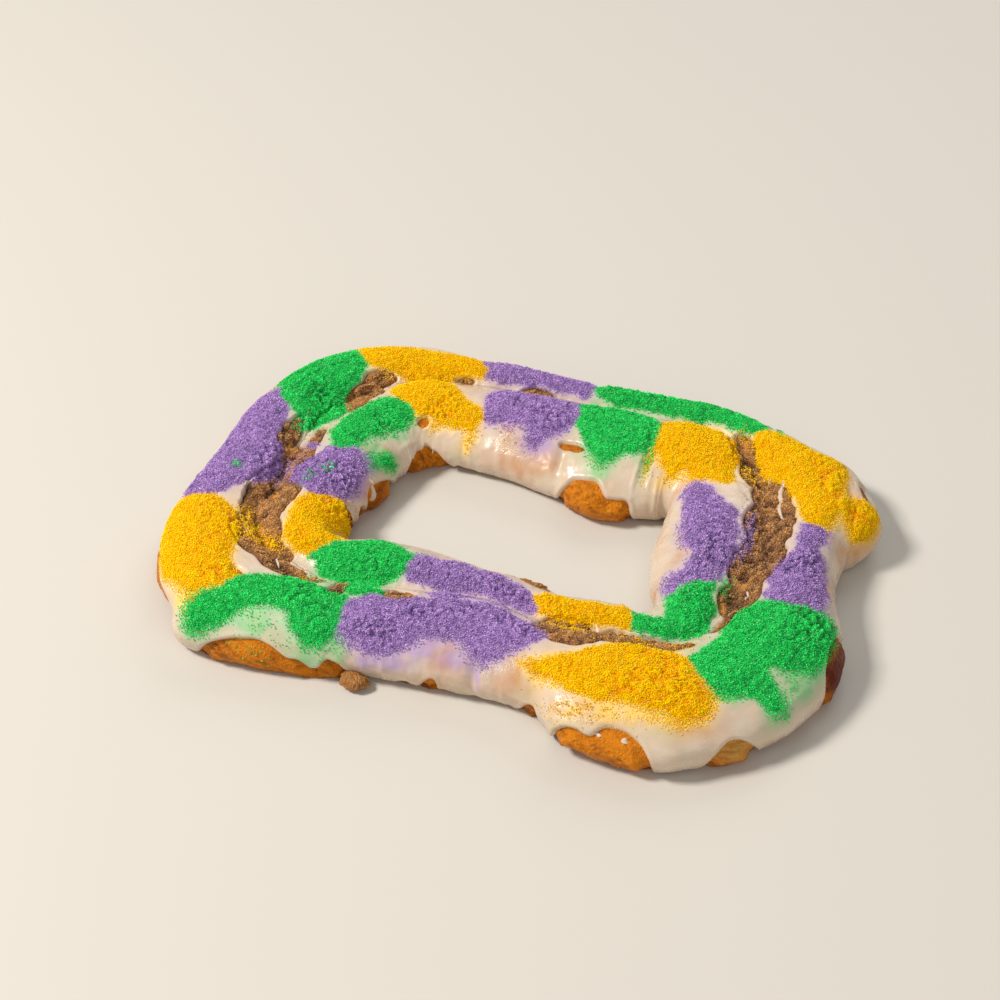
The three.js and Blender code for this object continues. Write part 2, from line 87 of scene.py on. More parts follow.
# ------------------------------------------------------------------ the ring's driving dimensions
# Knots (s, value) round the ring. Reach: how far a strand's side stands out from the centreline.
OUTER_REACH = (
    (0, 40), (30, 40), (55, 44), (79, 66), (99, 74), (118, 84), (150, 84), (177, 80), (217, 61),
    (247, 54), (277, 56), (299, 74), (325, 70), (350, 52), (372, 44), (396, 40), (487, 40),
    (528, 44), (574, 48), (600, 61), (643, 72), (694, 66), (751, 68), (789, 72), (822, 76),
    (845, 86), (866, 66), (890, 51), (927, 42),
)
INNER_REACH = (
    (0, 60), (30, 60), (55, 52), (99, 52), (118, 44), (150, 46), (177, 54), (217, 64), (247, 70),
    (299, 70), (350, 66), (396, 68), (448, 80), (487, 68), (528, 57), (574, 53), (600, 56),
    (643, 63), (694, 62), (751, 50), (789, 46), (822, 50), (845, 58), (866, 68), (890, 72),
    (927, 72), (960, 66),
)
GROOVE_PLACE = (
    (0, -27), (55, -15), (99, -17), (150, -2), (197, -6), (247, 0), (325, -5), (350, 0), (372, 9),
    (448, 13), (528, 18), (600, 14), (694, 8), (789, 10), (822, 2), (845, -9), (890, -16),
    (960, -24),
)
OUTER_HEIGHT = (
    (0, 40), (118, 41), (325, 41), (350, 39), (372, 37), (487, 37), (574, 39), (643, 41),
    (789, 42), (845, 41), (866, 40),
)
INNER_HEIGHT = (
    (0, 35), (118, 35), (177, 38), (197, 40), (247, 41), (448, 41), (487, 39), (528, 38),
    (694, 39), (751, 38), (822, 38), (866, 36), (960, 36),
)

# Swells and creases of the dough: (s, v, half length, half width, height).
SWELLS = (
    (968, 60, 22, 20, 2.0), (42, 60, 17, 20, 2.2), (16, 74, 6, 22, -3.0),
    (878, 50, 26, 22, 1.5), (812, 48, 26, 28, 1.2), (178, 46, 28, 26, 1.2), (108, 60, 24, 24, 1.0),
    (294, 84, 15, 14, 3.0), (300, 62, 18, 7, -2.5), (83, 118, 13, 14, -11.0),
    (512, -62, 24, 22, 3.0), (482, -74, 6, 18, -2.5), (421, -62, 6, 22, -3.0),
    (376, -40, 24, 24, 1.6), (455, -100, 20, 12, 3.0), (605, -88, 34, 12, 3.0),
    (722, -84, 16, 12, 2.5), (760, -50, 6, 18, -2.0), (835, 98, 18, 18, -9.0),
    (837, 114, 16, 18, -9.0), (40, -34, 22, 18, -2.8), (792, -72, 26, 16, 6.0),
)


class Arch(NamedTuple):
    """An arch in the icing's lower edge, where crust shows.

    It runs from one s to another and rises over the foot. Above 2 it is squarer than an oval, and it
    leans by so much along the ring for each step up.
    """

    start: float
    end: float
    rise: float
    square: float = 2.0
    lean: float = 0.0


OUTER_ARCHES = (
    Arch(856, 893, 29, 1.9), Arch(886, 898, 18, 2.4), Arch(888, 920, 12, 3),
    Arch(901, 917, 20, 2.2), Arch(925, 932, 8), Arch(952, 986, 4, 6),
    Arch(952, 961, 8), Arch(965, 975, 17, 2, 0.3), Arch(47, 58, 16, 2, 0.25),
    Arch(74, 100, 27, 2.4), Arch(92, 112.5, 36, 2.6), Arch(128, 147, 25, 1.6), Arch(150, 170, 7),
    Arch(173, 203, 35, 2.2), Arch(345, 372, 20), Arch(420, 452, 22),
    Arch(500, 522, 12), Arch(560, 590, 18), Arch(655, 690, 20), Arch(725, 748, 14),
    Arch(788, 841, 25),
)
INNER_ARCHES = (
    Arch(426.5, 445, 26, 5), Arch(437, 481, 38, 1.9), Arch(543, 553, 8), Arch(555, 562, 10),
    Arch(566, 640, 24, 2.6), Arch(600, 648, 20, 3), Arch(702, 736, 24, 2.4, 0.35),
    Arch(738, 747, 18, 2.4, 0.3),
    Arch(754, 768, 31, 2.4), Arch(800, 822, 12), Arch(868, 900, 18), Arch(955, 985, 10),
    Arch(40, 66, 16), Arch(95, 130, 18),
)
# Openings in the icing, where filling shows along the groove and crust on the sides:
# (s, v, half length, half width).
OPENINGS = (
    (66, 13, 22, 15), (100, 8, 24, 10), (126, 9, 20, 11), (176, 7, 18, 5), (200, 6, 20, 14),
    (235, 5, 28, 19), (275, 5, 28, 19), (303, 5, 18, 14), (335, -2, 20, 10), (362, -2, 15, 12),
    (520, -2, 13, 6), (628, 7, 11, 7), (642, -5, 15, 12), (658, -12, 14, 10), (707, 10, 17, 8),
    (705, -8, 14, 9), (735, -5, 22, 15), (772, -5, 32, 20), (822, 6, 24, 16), (850, 12, 20, 11),
    (877, 12, 9, 6), (573, 2, 8, 2.2), (899, 14, 6, 14), (939, 18, 10, 7), (476, -62, 10, 3),
    (598, -57, 9, 3.5), (846, 41, 4, 4.5), (313, 77, 6, 4.5), (62, 2, 20, 9), (806, -6, 15, 13),
)
# Tongues of icing that reach into those openings, in the same numbers.
TONGUES = (
    (782, 27, 9, 5), (786, 17, 5, 5), (840, 31, 17, 8), (270, 27, 30, 4), (205, -14, 8, 5),
    (148, 25, 7, 12), (690, 17, 8, 4), (700, -2, 11, 3),
)
# Folds and hollows of the icing alone: (s, v, half length, half width, height).
FOLDS = (
    (411, -88, 1.8, 24, 0.9), (417, -70, 1.8, 26, 0.8), (427, -74, 2.0, 24, 0.9),
    (404, -84, 14, 2.2, 0.5), (92, 84, 16, 1.6, 1.1), (88, 88, 12, 1.5, 1.0), (98, 79, 12, 1.5, 1.0),
    (80, 77, 10, 1.8, 0.8), (84, 82, 9, 1.4, -0.6), (101, 88, 6, 2.0, 0.9), (74, 84, 6, 3, 0.8),
    (18, 80, 3.5, 14, 0.6), (930, 80, 3, 12, 0.7), (943, 78, 3.5, 12, 0.6),
    (36, 78, 3.5, 14, 0.6), (54, 73, 12, 2.4, 0.7), (120, 106, 8, 14, 1.0), (121, 90, 8, 3, -0.7),
    (224, -45, 14, 2.2, -0.6), (480, -62, 13, 4, -0.8), (556, -74, 2.4, 16, -0.9),
    (550, -74, 2.4, 16, 0.7), (640, -72, 40, 2.6, 0.7), (660, -58, 30, 2.4, -0.7),
    (700, -58, 10, 3.2, -0.8), (303, 62, 3.5, 12, 1.0), (186, -62, 14, 2.6, -0.6),
    (985, 76, 16, 3, 0.6), (965, 88, 12, 2.4, 0.6), (158, 96, 3, 14, 0.7), (150, 96, 3, 14, -0.6),
)


class Patch(NamedTuple):
    """A patch of sugar: its colour and its outline as (s, lowest v, highest v), end to end."""

    colour: Colour
    outline: tuple[tuple[float, float, float], ...]


PATCHES = (
    Patch(Colour.PURPLE, (
        (904, 42, 42), (909, 32, 58), (920, 23, 64), (940, 22, 68), (958, 20, 62), (970, 15, 54),
        (986, 15, 55), (1000, 15, 63), (1009, 15, 61), (1026, 17, 45), (1034, 18, 34),
        (1042, 24, 26),
    )),
    Patch(Colour.GOLD, (
        (46, 50, 50), (52, 45, 54), (64, 41, 58), (74, 36, 64), (84, 29, 67), (94, 23, 70),
        (104, 18, 72), (114, 16, 78), (124, 19, 83), (131, 25, 81), (135, 32, 74), (138, 54, 54),
    )),
    Patch(Colour.GREEN, (
        (132, 46, 46), (135, 30, 64), (138, 26, 67), (146, 22, 68), (149, 21, 72), (152, 18, 88),
        (157, 17, 91), (160, 16, 62), (163, 15, 62), (167, 14, 70), (172, 12, 80), (186, 13, 82),
        (194, 23, 80), (199, 34, 73), (204, 52, 52),
    )),
    Patch(Colour.PURPLE, (
        (194, 40, 40), (199, 24, 62), (220, 21, 60), (236, 22, 52), (243, 28, 50), (257, 28, 43),
        (275, 30, 48), (281, 38, 38),
    )),
    Patch(Colour.GOLD, (
        (272, 38, 38), (280, 28, 47), (297, 23, 55), (314, 15, 60), (327, 3, 68), (337, 2, 47),
        (350, 5, 40), (362, 10, 27), (366, 18, 18),
    )),
    Patch(Colour.GOLD, ((284, 66, 66), (289, 54, 78), (297, 51, 81), (303, 57, 80), (306, 72, 72))),
    Patch(Colour.GREEN, (
        (358, 20, 20), (366, 13, 25), (378, 8, 28), (392, 7, 32), (402, 4, 38), (430, 3, 41),
        (460, 4, 40), (474, 6, 32), (482, 18, 18),
    )),
    Patch(Colour.PURPLE, (
        (476, 18, 18), (483, 6, 32), (500, 5, 38), (540, 5, 38), (560, 6, 32), (570, 18, 18),
    )),
    Patch(Colour.GOLD, (
        (556, 14, 14), (563, 6, 22), (580, 3, 25), (590, -2, 26), (600, -5, 28), (610, 0, 35),
        (620, 10, 42), (630, 18, 50), (636, 36, 36),
    )),
    Patch(Colour.GREEN, (
        (627, 35, 35), (633, 20, 46), (640, 12, 50), (648, 6, 55), (656, 0, 55), (663, -12, 55),
        (670, -20, 52), (680, -17, 40), (690, -6, 14), (697, 4, 4),
    )),
    Patch(Colour.PURPLE, (
        (676, 45, 45), (682, 32, 56), (690, 21, 60), (718, 17, 60), (724, 8, 60), (735, 3, 61),
        (750, 1, 62), (762, 4, 62), (770, 12, 62), (778, 22, 60), (785, 28, 56), (794, 44, 44),
    )),
    Patch(Colour.GOLD, (
        (784, 44, 44), (791, 22, 66), (798, 13, 70), (812, 14, 74), (822, 18, 76), (830, 30, 78),
        (838, 40, 78), (848, 42, 78), (855, 50, 66), (858, 57, 57),
    )),
    Patch(Colour.GREEN, (
        (845, 70, 70), (848, 46, 88), (854, 32, 97), (858, 28, 92), (862, 24, 80), (866, 21, 61),
        (875, 20, 50), (884, 20, 52), (890, 21, 62), (896, 22, 72), (902, 23, 70), (908, 26, 62),
        (914, 42, 50),
    )),
    Patch(Colour.GREEN, (
        (901, 10, 12), (906, 1, 25), (917, 4, 24), (926, 15, 22), (930, 19, 19),
    )),
    Patch(Colour.PURPLE, ((954, 9, 9), (961, 2, 16), (980, 3, 14), (987, 8, 8))),
    Patch(Colour.PURPLE, (
        (928, -22, -22), (936, -30, -8), (960, -30, -2), (980, -24, -2), (1006, -20, -1),
        (1020, -17, -2), (1028, -9, -7),
    )),
    Patch(Colour.GOLD, ((33, -14, -14), (42, -24, -5), (60, -25, -4), (108, -22, -5), (115, -12, -12))),
    Patch(Colour.GREEN, (
        (98, -10, -10), (110, -20, -5), (140, -20, -3), (150, -33, -1), (158, -36, 5),
        (167, -37, -1), (180, -34, -4), (190, -28, -11), (200, -20, -12), (207, -14, -14),
    )),
    Patch(Colour.PURPLE, (
        (164, -40, -40), (170, -43, -37), (183, -50, -35), (200, -48, -20), (210, -38, -13),
        (226, -38, -12), (240, -52, -14), (250, -57, -16), (262, -54, -18), (277, -57, -20),
        (283, -57, -30), (292, -58, -35), (310, -60, -38), (330, -58, -42), (338, -50, -50),
    )),
    Patch(Colour.GOLD, (
        (315, -27, -27), (320, -33, -20), (337, -47, -18), (350, -53, -10), (363, -58, -8), (370, -61, -2),
        (380, -70, 1), (397, -73, 3), (410, -65, 0), (420, -50, -10), (424, -30, -30),
    )),
    Patch(Colour.GREEN, (
        (417, -35, -35), (424, -55, -15), (439, -61, -1), (445, -70, 0), (452, -76, 0),
        (460, -70, 0), (469, -58, 0), (480, -38, 0), (488, -20, -10),
    )),
    Patch(Colour.PURPLE, (
        (478, -25, -25), (484, -48, -6), (494, -57, -5), (502, -69, -5), (508, -66, -5),
        (514, -52, -5), (530, -50, -5), (540, -55, -6), (547, -49, -10), (552, -24, -24),
    )),
    Patch(Colour.GOLD, (
        (546, -48, -48), (552, -70, -40), (557, -60, -36), (565, -60, -32), (580, -62, -12),
        (590, -55, 2), (600, -52, 5), (610, -50, 2), (620, -38, -6), (627, -22, -22),
    )),
    Patch(Colour.GREEN, (
        (608, -48, -48), (613, -58, -40), (622, -60, -30), (640, -62, -23), (660, -58, -25),
        (680, -55, -22), (700, -48, -22), (715, -42, -26), (726, -34, -34),
    )),
    Patch(Colour.GREEN, (
        (699, -68, -68), (703, -78, -64), (708, -76, -60), (715, -67, -56), (721, -59, -57),
    )),
    Patch(Colour.PURPLE, (
        (710, -42, -42), (717, -58, -27), (728, -60, -20), (738, -60, -11), (754, -60, -10),
        (760, -56, -20), (769, -38, -38),
    )),
    Patch(Colour.GREEN, ((737, -21, -21), (743, -27, -15), (750, -21, -21))),
    Patch(Colour.PURPLE, ((711, -12, -12), (715, -18, -5), (720, -14, -14))),
    Patch(Colour.GOLD, (
        (758, -54, -54), (763, -70, -36), (775, -80, -29), (790, -72, -26), (800, -62, -25),
        (810, -55, -21), (820, -50, -14), (840, -42, -8), (850, -34, -10), (857, -22, -22),
    )),
    Patch(Colour.GREEN, (
        (844, -22, -22), (852, -30, -9), (860, -34, -8), (870, -40, -2), (900, -43, 8),
        (914, -41, 20), (921, -38, 2), (932, -28, -12), (940, -20, -20),
    )),
)

# Places where the sugar lies in rough clods, whose clefts the grains' colour also paints dark as shade:
# (s, v, half length, half width).
CLODDED = (
    (124, 50, 14, 30), (106, 58, 12, 12), (355, -12, 16, 10), (382, 0, 18, 7), (768, -54, 16, 16),
    (938, 52, 14, 12), (745, 12, 30, 10), (312, 48, 22, 10), (668, 14, 10, 26), (688, 4, 10, 8),
    (664, -50, 20, 10), (578, -46, 18, 22), (740, -44, 16, 20), (800, 18, 14, 10),
    (843, 54, 12, 8), (14, -14, 22, 9), (34, 24, 16, 12), (958, 34, 14, 14), (990, 24, 12, 10),
    (194, 60, 10, 18), (240, 38, 18, 12), (230, -28, 24, 12), (424, -22, 10, 24), (500, -40, 18, 14),
    (180, -24, 16, 10), (880, 32, 12, 12), (56, -14, 16, 7), (440, 22, 30, 10), (296, 66, 8, 10),
)
# Places where the icing is thin enough for the crust to tint it, and by the ear (s 270 and 308) where the
# brown
# tint is painted shade: (s, v, half length, half width[, share]).
THIN_AND_SHADED_ICING = (
    (975, 62, 26, 26, 0.7), (42, 62, 20, 22), (512, -66, 32, 30), (126, 84, 14, 10), (228, -46, 22, 8),
    (186, -64, 16, 8), (604, -30, 20, 14), (596, -58, 10, 6), (736, -66, 14, 12), (88, 74, 20, 8, 0.35),
    (840, 66, 24, 10), (352, -62, 20, 18), (292, 78, 16, 12), (700, -66, 26, 12), (500, -80, 24, 10),
    (270, 62, 16, 13), (308, 62, 12, 8), (104, 84, 14, 6, 0.5), (230, 62, 20, 10), (972, 88, 12, 7),
    (708, -50, 10, 7), (284, 70, 10, 10),
)
# Places where the icing has a crust of wet white crystals: (s, v, half length, half width).
CRYSTALLISED = (
    (1010, 63, 11, 9), (1022, 52, 10, 8), (521, -64, 14, 13), (506, -72, 9, 8), (96, 82, 20, 6),
    (84, 66, 16, 5), (30, 52, 8, 8), (930, 62, 8, 6),
)
# Golden spots on the filling, and hollows in it that are also painted dark as shade: (s, v, half length,
# half width).
GOLDEN_SPOTS = (
    (806, -3, 11, 6), (790, 6, 9, 5), (822, 8, 10, 5), (652, -2, 9, 5), (822, -2, 16, 8),
    (364, 3, 12, 6), (640, -8, 9, 7), (212, 6, 10, 5), (720, 4, 9, 5), (186, -1, 9, 4),
    (838, 8, 14, 4), (945, 17, 5, 4), (652, -14, 8, 5), (134, 10, 6, 6), (774, -10, 14, 5),
)
SHADED_HOLLOWS = (
    (196, 4, 12, 7), (630, -10, 8, 5), (350, -4, 10, 6), (762, -9, 9, 5), (265, -7, 20, 3),
    (240, 8, 10, 4), (735, 3, 12, 4), (848, 14, 8, 4), (700, -2, 8, 5), (780, 12, 9, 4),
    (708, 14, 12, 3), (188, 10, 9, 6), (899, 20, 5, 6),
)
# Stretches of the filling that baked darker all over: (s, v, half length, half width, share).
DARK_FILLING = (
    (250, 6, 60, 18, 0.62), (850, 18, 30, 8, 0.4), (188, 4, 16, 14, 0.8), (90, 4, 40, 10, 0.15),
    (340, -2, 18, 8, 0.6), (710, 12, 18, 8, 0.4), (782, 12, 10, 6, 0.6),
)
# Bakes of the crust, with painted light and shade: stretches that are darker, some browned and some
# painted shade in the small windows under the icing's lip and at the right side's foot, or lighter where
# the share is below zero, painted light on the back inner wall; and paler ones, (s, v, half length, half
# width[, share]).
DARK_AND_SHADED_CRUST = (
    (192, 94, 24, 26, 1.4), (313, 78, 10, 8), (726, -80, 20, 14, 0.5), (760, -72, 8, 16),
    (360, 70, 16, 14), (643, -84, 8, 7, 0.8), (558, -92, 5, 10), (955, 92, 6, 6), (929, 90, 6, 6),
    (82, 104, 14, 16, 0.25), (968, 94, 8, 6, 0.6), (640, -94, 26, 8, 0.5), (446, -104, 26, 18, -0.5),
)
PALE_CRUST = ((138, 100, 14, 16), (560, 72, 16, 12), (877, 106, 22, 12, 0.35))


# Runs of dissolved sugar down the icing, by colour, and a gold run by the ear at s 300 that is painted
# shade: (s, v, half length, half width).
RUNS_AND_SHADE = {
    Colour.PURPLE: (
        (1005, 70, 4, 16), (968, 62, 16, 8), (930, 74, 8, 8), (500, -66, 18, 10), (742, -62, 10, 8),
        (10, 8, 34, 8), (950, 72, 20, 9), (990, 66, 16, 9),
    ),
    Colour.GREEN: (
        (915, 68, 6, 12), (900, 78, 14, 8), (872, 68, 12, 10), (168, 84, 14, 10), (424, -60, 4, 20),
        (452, -80, 10, 8), (700, -56, 14, 8), (640, -66, 20, 6), (880, 9, 12, 9), (205, -6, 12, 8),
        (166, 74, 4, 16), (140, 8, 10, 12), (872, 60, 16, 13),
    ),
    Colour.GOLD: (
        (98, 80, 24, 9), (421, -62, 4, 22), (404, -78, 12, 8), (552, -72, 5, 10), (846, 86, 8, 8),
        (62, 48, 12, 10), (300, 60, 12, 8),
    ),
}
# Crystals that fell outside their patch, by colour: (s, v, half length, half width, share), where the
# share is of a full cover.
SPILLS = {
    Colour.PURPLE: (
        (258, -9, 32, 6, 1.4), (742, -8, 24, 9, 0.45), (522, -54, 20, 9, 0.4),
        (222, -32, 12, 8, 0.5), (744, 0, 24, 6, 0.5), (714, -12, 6, 6, 0.5), (8, 9, 34, 8, 0.22),
        (196, -26, 14, 6, 0.25),
    ),
    Colour.GREEN: (
        (880, 9, 13, 10, 0.3), (676, -12, 16, 11, 0.6), (698, 7, 9, 8, 0.5), (752, -26, 9, 6, 0.5),
        (739, -35, 7, 5, 1.0), (759, 29, 5, 5, 1.0), (203, -6, 13, 9, 0.45), (873, 84, 9, 8, 0.12),
        (873, 63, 10, 10, 0.22), (886, 68, 10, 6, 0.15), (908, 66, 8, 14, 0.2),
        (421, -58, 4, 20, 0.7), (163, 74, 5, 12, 0.3), (700, -28, 14, 8, 0.3), (932, -14, 6, 4, 0.5),
        (158, 4, 9, 6, 0.3), (358, 34, 9, 7, 0.3),
    ),
    Colour.GOLD: (
        (68, 6, 8, 11, 0.5), (112, 11, 26, 8, 0.3), (138, 12, 8, 9, 0.35), (806, 7, 18, 11, 1.4),
        (822, -5, 12, 6, 1.8), (86, 77, 22, 9, 0.4), (872, 14, 9, 6, 0.35), (421, -58, 4, 20, 0.7),
        (56, 52, 10, 10, 0.3), (552, -70, 5, 11, 0.45), (403, -70, 16, 7, 0.25),
        (292, 68, 16, 9, 0.35), (622, 9, 9, 7, 0.4), (332, -6, 14, 8, 0.9), (62, 4, 16, 7, 0.7),
        (368, 8, 12, 7, 0.5),
    ),
}


class Drip(NamedTuple):
    """A run of icing over the filling or down the side, from one place (s, v) to another."""

    start: tuple[float, float]
    end: tuple[float, float]
    width: float
    height: float


DRIPS = (
    Drip((319, 18), (296, 12), 4.4, 1.7),
    Drip((277, 16), (301, 12), 3.6, 1.6),
    Drip((195, 12), (205, 9), 2.4, 1.5),
    Drip((803, 6), (812, 10), 1.6, 1.2),
    Drip((700, 7), (678, 14), 2.4, 1.6),
    Drip((729, -63), (735, -79), 4.4, 1.8),
    Drip((756, -57), (752, -83), 8.0, 2.2),
    Drip((578, -76), (579, -82), 2.2, 1.8),
    Drip((836, 0), (851, 14), 1.8, 1.3),
    Drip((934, 10), (914, 14), 2.2, 1.3),
    Drip((764, 12), (775, 16), 3.0, 2.0),
    Drip((94, 91), (96.5, 94), 2.4, 1.4),
    Drip((104.5, 93.5), (104.8, 97.5), 2.6, 1.5),
)


# Waves that make edges and surfaces uneven: (seed, cell along the ring, cell over it, height).
FOOT_EDGE_WAVES = ((11, 13, 60, 1.8), (12, 6, 30, 1.2), (15, 3, 14, 0.8))
OPENING_EDGE_WAVES = ((13, 12, 12, 1.4), (14, 5, 5, 0.9), (16, 2.5, 2.5, 0.4))
PATCH_EDGE_WAVES = ((21, 14, 14, 2.2), (22, 6, 6, 1.3), (23, 3, 3, 0.6))
CRUST_WRINKLES = ((31, 16, 3.2, 0.7), (32, 7, 1.8, 0.5))
ICING_DIMPLES = ((55, 7, 6, 0.3), (56, 3.2, 3.2, 0.14))
CRUST_CRACKS = (33, 20, 4.5)


# ------------------------------------------------------------------ number helpers
def smooth_step(t: Array) -> Array:
    """0 below zero, 1 above one, and 3t^2 - 2t^3 between."""
    t = np.clip(t, 0, 1)
    return t * t * (3 - 2 * t)


def rows_interp(places: Array, known: Array, values: Array) -> Array:
    """Linear interpolation in each row at once.

    Each row is moved past the one before it, so that one search serves them all.

    Args:
        places: where values are wanted, one row for each row of known.
        known: rising places at which the values are known.
        values: the values there.

    Returns:
        The values at places.
    """
    rows, count = known.shape
    shift = np.arange(rows)[:, None] * (known.max() + 1.0)
    found = np.searchsorted((known + shift).ravel(), (places + shift).ravel(), side="right") - 1
    first = np.repeat(np.arange(rows) * count, places.shape[1])
    k = np.clip(found, first, first + count - 2)
    low, high = known.ravel()[k], known.ravel()[k + 1]
    t = np.clip((places.ravel() - low) / (high - low), 0, 1)
    flat = values.ravel()
    return (flat[k] * (1 - t) + flat[k + 1] * t).reshape(places.shape)


def surface_normals(points: Array) -> Array:
    """Unit normals of a grid that closes on itself along its first axis: dP/dv crossed with dP/ds."""
    ahead = np.roll(points, -1, 0) - np.roll(points, 1, 0)
    over = np.gradient(points, axis=1)
    normals = np.cross(over, ahead)
    return normals / np.linalg.norm(normals, axis=-1, keepdims=True)


@dataclass(frozen=True)
class Centreline:
    """The ring's centreline: a rectangle with round corners."""

    half_length: float = 163.0
    half_width: float = 117.0
    corner_radius: float = 78.0
    middle: tuple[float, float] = (-3.8, 8.5)

    @property
    def straight(self) -> tuple[float, float]:
        """The straight stretches along X and Y."""
        return (
            2 * (self.half_length - self.corner_radius),
            2 * (self.half_width - self.corner_radius),
        )

    @property
    def perimeter(self) -> float:
        """The length all round."""
        return 2 * sum(self.straight) + 2 * math.pi * self.corner_radius

    def stations(self, count: int) -> Array:
        """Even places round the ring, one a row."""
        return (np.arange(count) * self.perimeter / count)[:, None]

    def place(self, s: Array) -> tuple[Array, Array]:
        """Points and outward directions in the floor's plane.

        Each side is a straight stretch and the quarter circle after it: the corner's centre plus the
        radius along the outward direction, less what is left of the straight.

        Args:
            s: distances along the centreline.

        Returns:
            The points and the unit outward directions, each with a last axis of 2.
        """
        straight_x, straight_y = self.straight
        quarter = math.pi / 2 * self.corner_radius
        corner = np.array([self.half_length, self.half_width]) - self.corner_radius
        travelled = np.mod(s + straight_x / 2, self.perimeter)
        point = np.zeros((*np.shape(s), 2))
        outward = np.zeros_like(point)
        begin = 0.0
        for straight, out, sign in (
            (straight_x, -math.pi / 2, (1, -1)),
            (straight_y, 0.0, (1, 1)),
            (straight_x, math.pi / 2, (-1, 1)),
            (straight_y, math.pi, (-1, -1)),
        ):
            local = travelled - begin
            here = ((local >= 0) & (local < straight + quarter))[..., None]
            turn = out + np.clip((local - straight) / self.corner_radius, 0, math.pi / 2)
            direction = np.stack([np.cos(turn), np.sin(turn)], -1)
            back = np.stack([direction[..., 1], -direction[..., 0]], -1)
            short = np.clip(straight - local, 0, None)[..., None]
            centre = corner * sign + self.middle
            point = np.where(here, centre + self.corner_radius * direction + short * back, point)
            outward = np.where(here, direction, outward)
            begin += straight + quarter
        return point, outward

    def along(self, start: float, s: Array) -> Array:
        """The distance along the ring from start to s, the short way, with its sign."""
        return np.mod(s - start + self.perimeter / 2, self.perimeter) - self.perimeter / 2

    def curve(self, knots: tuple[tuple[float, float], ...], s: Array) -> Array:
        """A closed curve through knots (s, value) that never overshoots one.

        A cubic between each two knots, whose slope at a knot is the harmonic mean of its two chords,
        or nothing where they differ in sign.

        Args:
            knots: the knots, the first at s = 0.
            s: distances along the centreline.

        Returns:
            The values at s.
        """
        place, value = np.array(knots, float).T
        place = np.concatenate([place[-2:] - self.perimeter, place, place[:2] + self.perimeter])
        value = np.concatenate([value[-2:], value, value[:2]])
        chord = np.diff(value) / np.diff(place)
        before, after = chord[:-1], chord[1:]
        total = np.where(before * after > 0, before + after, 1.0)
        slope = np.zeros_like(value)
        slope[1:-1] = np.where(before * after > 0, 2 * before * after / total, 0.0)
        s = np.mod(s, self.perimeter)
        k = np.clip(np.searchsorted(place, s, side="right") - 1, 1, len(place) - 3)
        span = place[k + 1] - place[k]
        t = (s - place[k]) / span
        rise = smooth_step(t)
        bend = t * (1 - t) ** 2 * slope[k] - t * t * (1 - t) * slope[k + 1]
        return value[k] * (1 - rise) + value[k + 1] * rise + span * bend


@dataclass(frozen=True)
class Section:
    """The ring's section: two lobes joined with a rounded groove, drawn in rays from a hub."""

    hub_height: float = 15.0
    lobe_place: float = 0.44
    groove_round: float = 3.0
    groove_width: float = 12.0

    @staticmethod
    def leave(angle: Array, centre: Array, half_width: Array, half_height: Array) -> Array:
        """Where a ray at an angle from straight up leaves an ellipse whose centre stands off the hub."""
        across, up = np.sin(angle), np.cos(angle)
        a = (across / half_width) ** 2 + (up / half_height) ** 2
        b = -2 * centre * across / half_width**2
        c = (centre / half_width) ** 2 - 1
        return (-b + np.sqrt(b * b - 4 * a * c)) / (2 * a)

    def point(self, sizes: Array, angle: Array) -> tuple[Array, Array]:
        """The section's point on a ray.

        The ray's length is the smooth maximum of its two lobes' lengths, held back where they meet so
        that the groove isn't raised.

        Args:
            sizes: groove place, outer and inner half widths, outer and inner heights over the hub.
            angle: the ray's angle from straight up, plus outwards.

        Returns:
            How far outwards and how far up the point is.
        """
        groove, outer_size, inner_size, outer_high, inner_high = sizes
        place, soft = self.lobe_place, self.groove_round
        outer = self.leave(angle, place * outer_size, (1 - place) * outer_size, outer_high)
        inner = self.leave(angle, -place * inner_size, (1 - place) * inner_size, inner_high)
        held_back = math.log(2) * np.exp(-(((outer - inner) / self.groove_width) ** 2))
        length = soft * (np.logaddexp(outer / soft, inner / soft) - held_back)
        return groove + length * np.sin(angle), self.hub_height + length * np.cos(angle)


@dataclass
class Noise:
    """Smooth gradient noise over (s, v), closed round the ring, between about -1 and 1."""

    seed: int
    cell_s: float
    cell_v: float
    perimeter: float
    reach: float = 160.0

    def __post_init__(self) -> None:
        """Draws the lattice's gradients."""
        self.count = max(3, round(self.perimeter / self.cell_s))
        rows = math.ceil(2 * self.reach / self.cell_v) + 2
        turn = np.random.default_rng(self.seed).uniform(0, 2 * math.pi, (self.count, rows))
        self.gradient = np.stack([np.cos(turn), np.sin(turn)], -1)

    def __call__(self, s: Array, v: Array) -> Array:
        """The noise at places: the four lattice gradients round each, mixed by a quintic fade."""
        x = np.mod(s, self.perimeter) / self.perimeter * self.count
        y = np.clip((v + self.reach) / self.cell_v, 0, self.gradient.shape[1] - 2.001)
        x, y = np.broadcast_arrays(x, y)
        i, j = np.floor(x).astype(int), np.floor(y).astype(int)
        f, g = x - i, y - j
        total = np.zeros(x.shape)
        fade_f, fade_g = (t**3 * (t * (6 * t - 15) + 10) for t in (f, g))
        for a in (0, 1):
            for b in (0, 1):
                gradient = self.gradient[(i + a) % self.count, j + b]
                slope = gradient[..., 0] * (f - a) + gradient[..., 1] * (g - b)
                weight = (fade_f if a else 1 - fade_f) * (fade_g if b else 1 - fade_g)
                total += weight * slope
        return total * 1.6


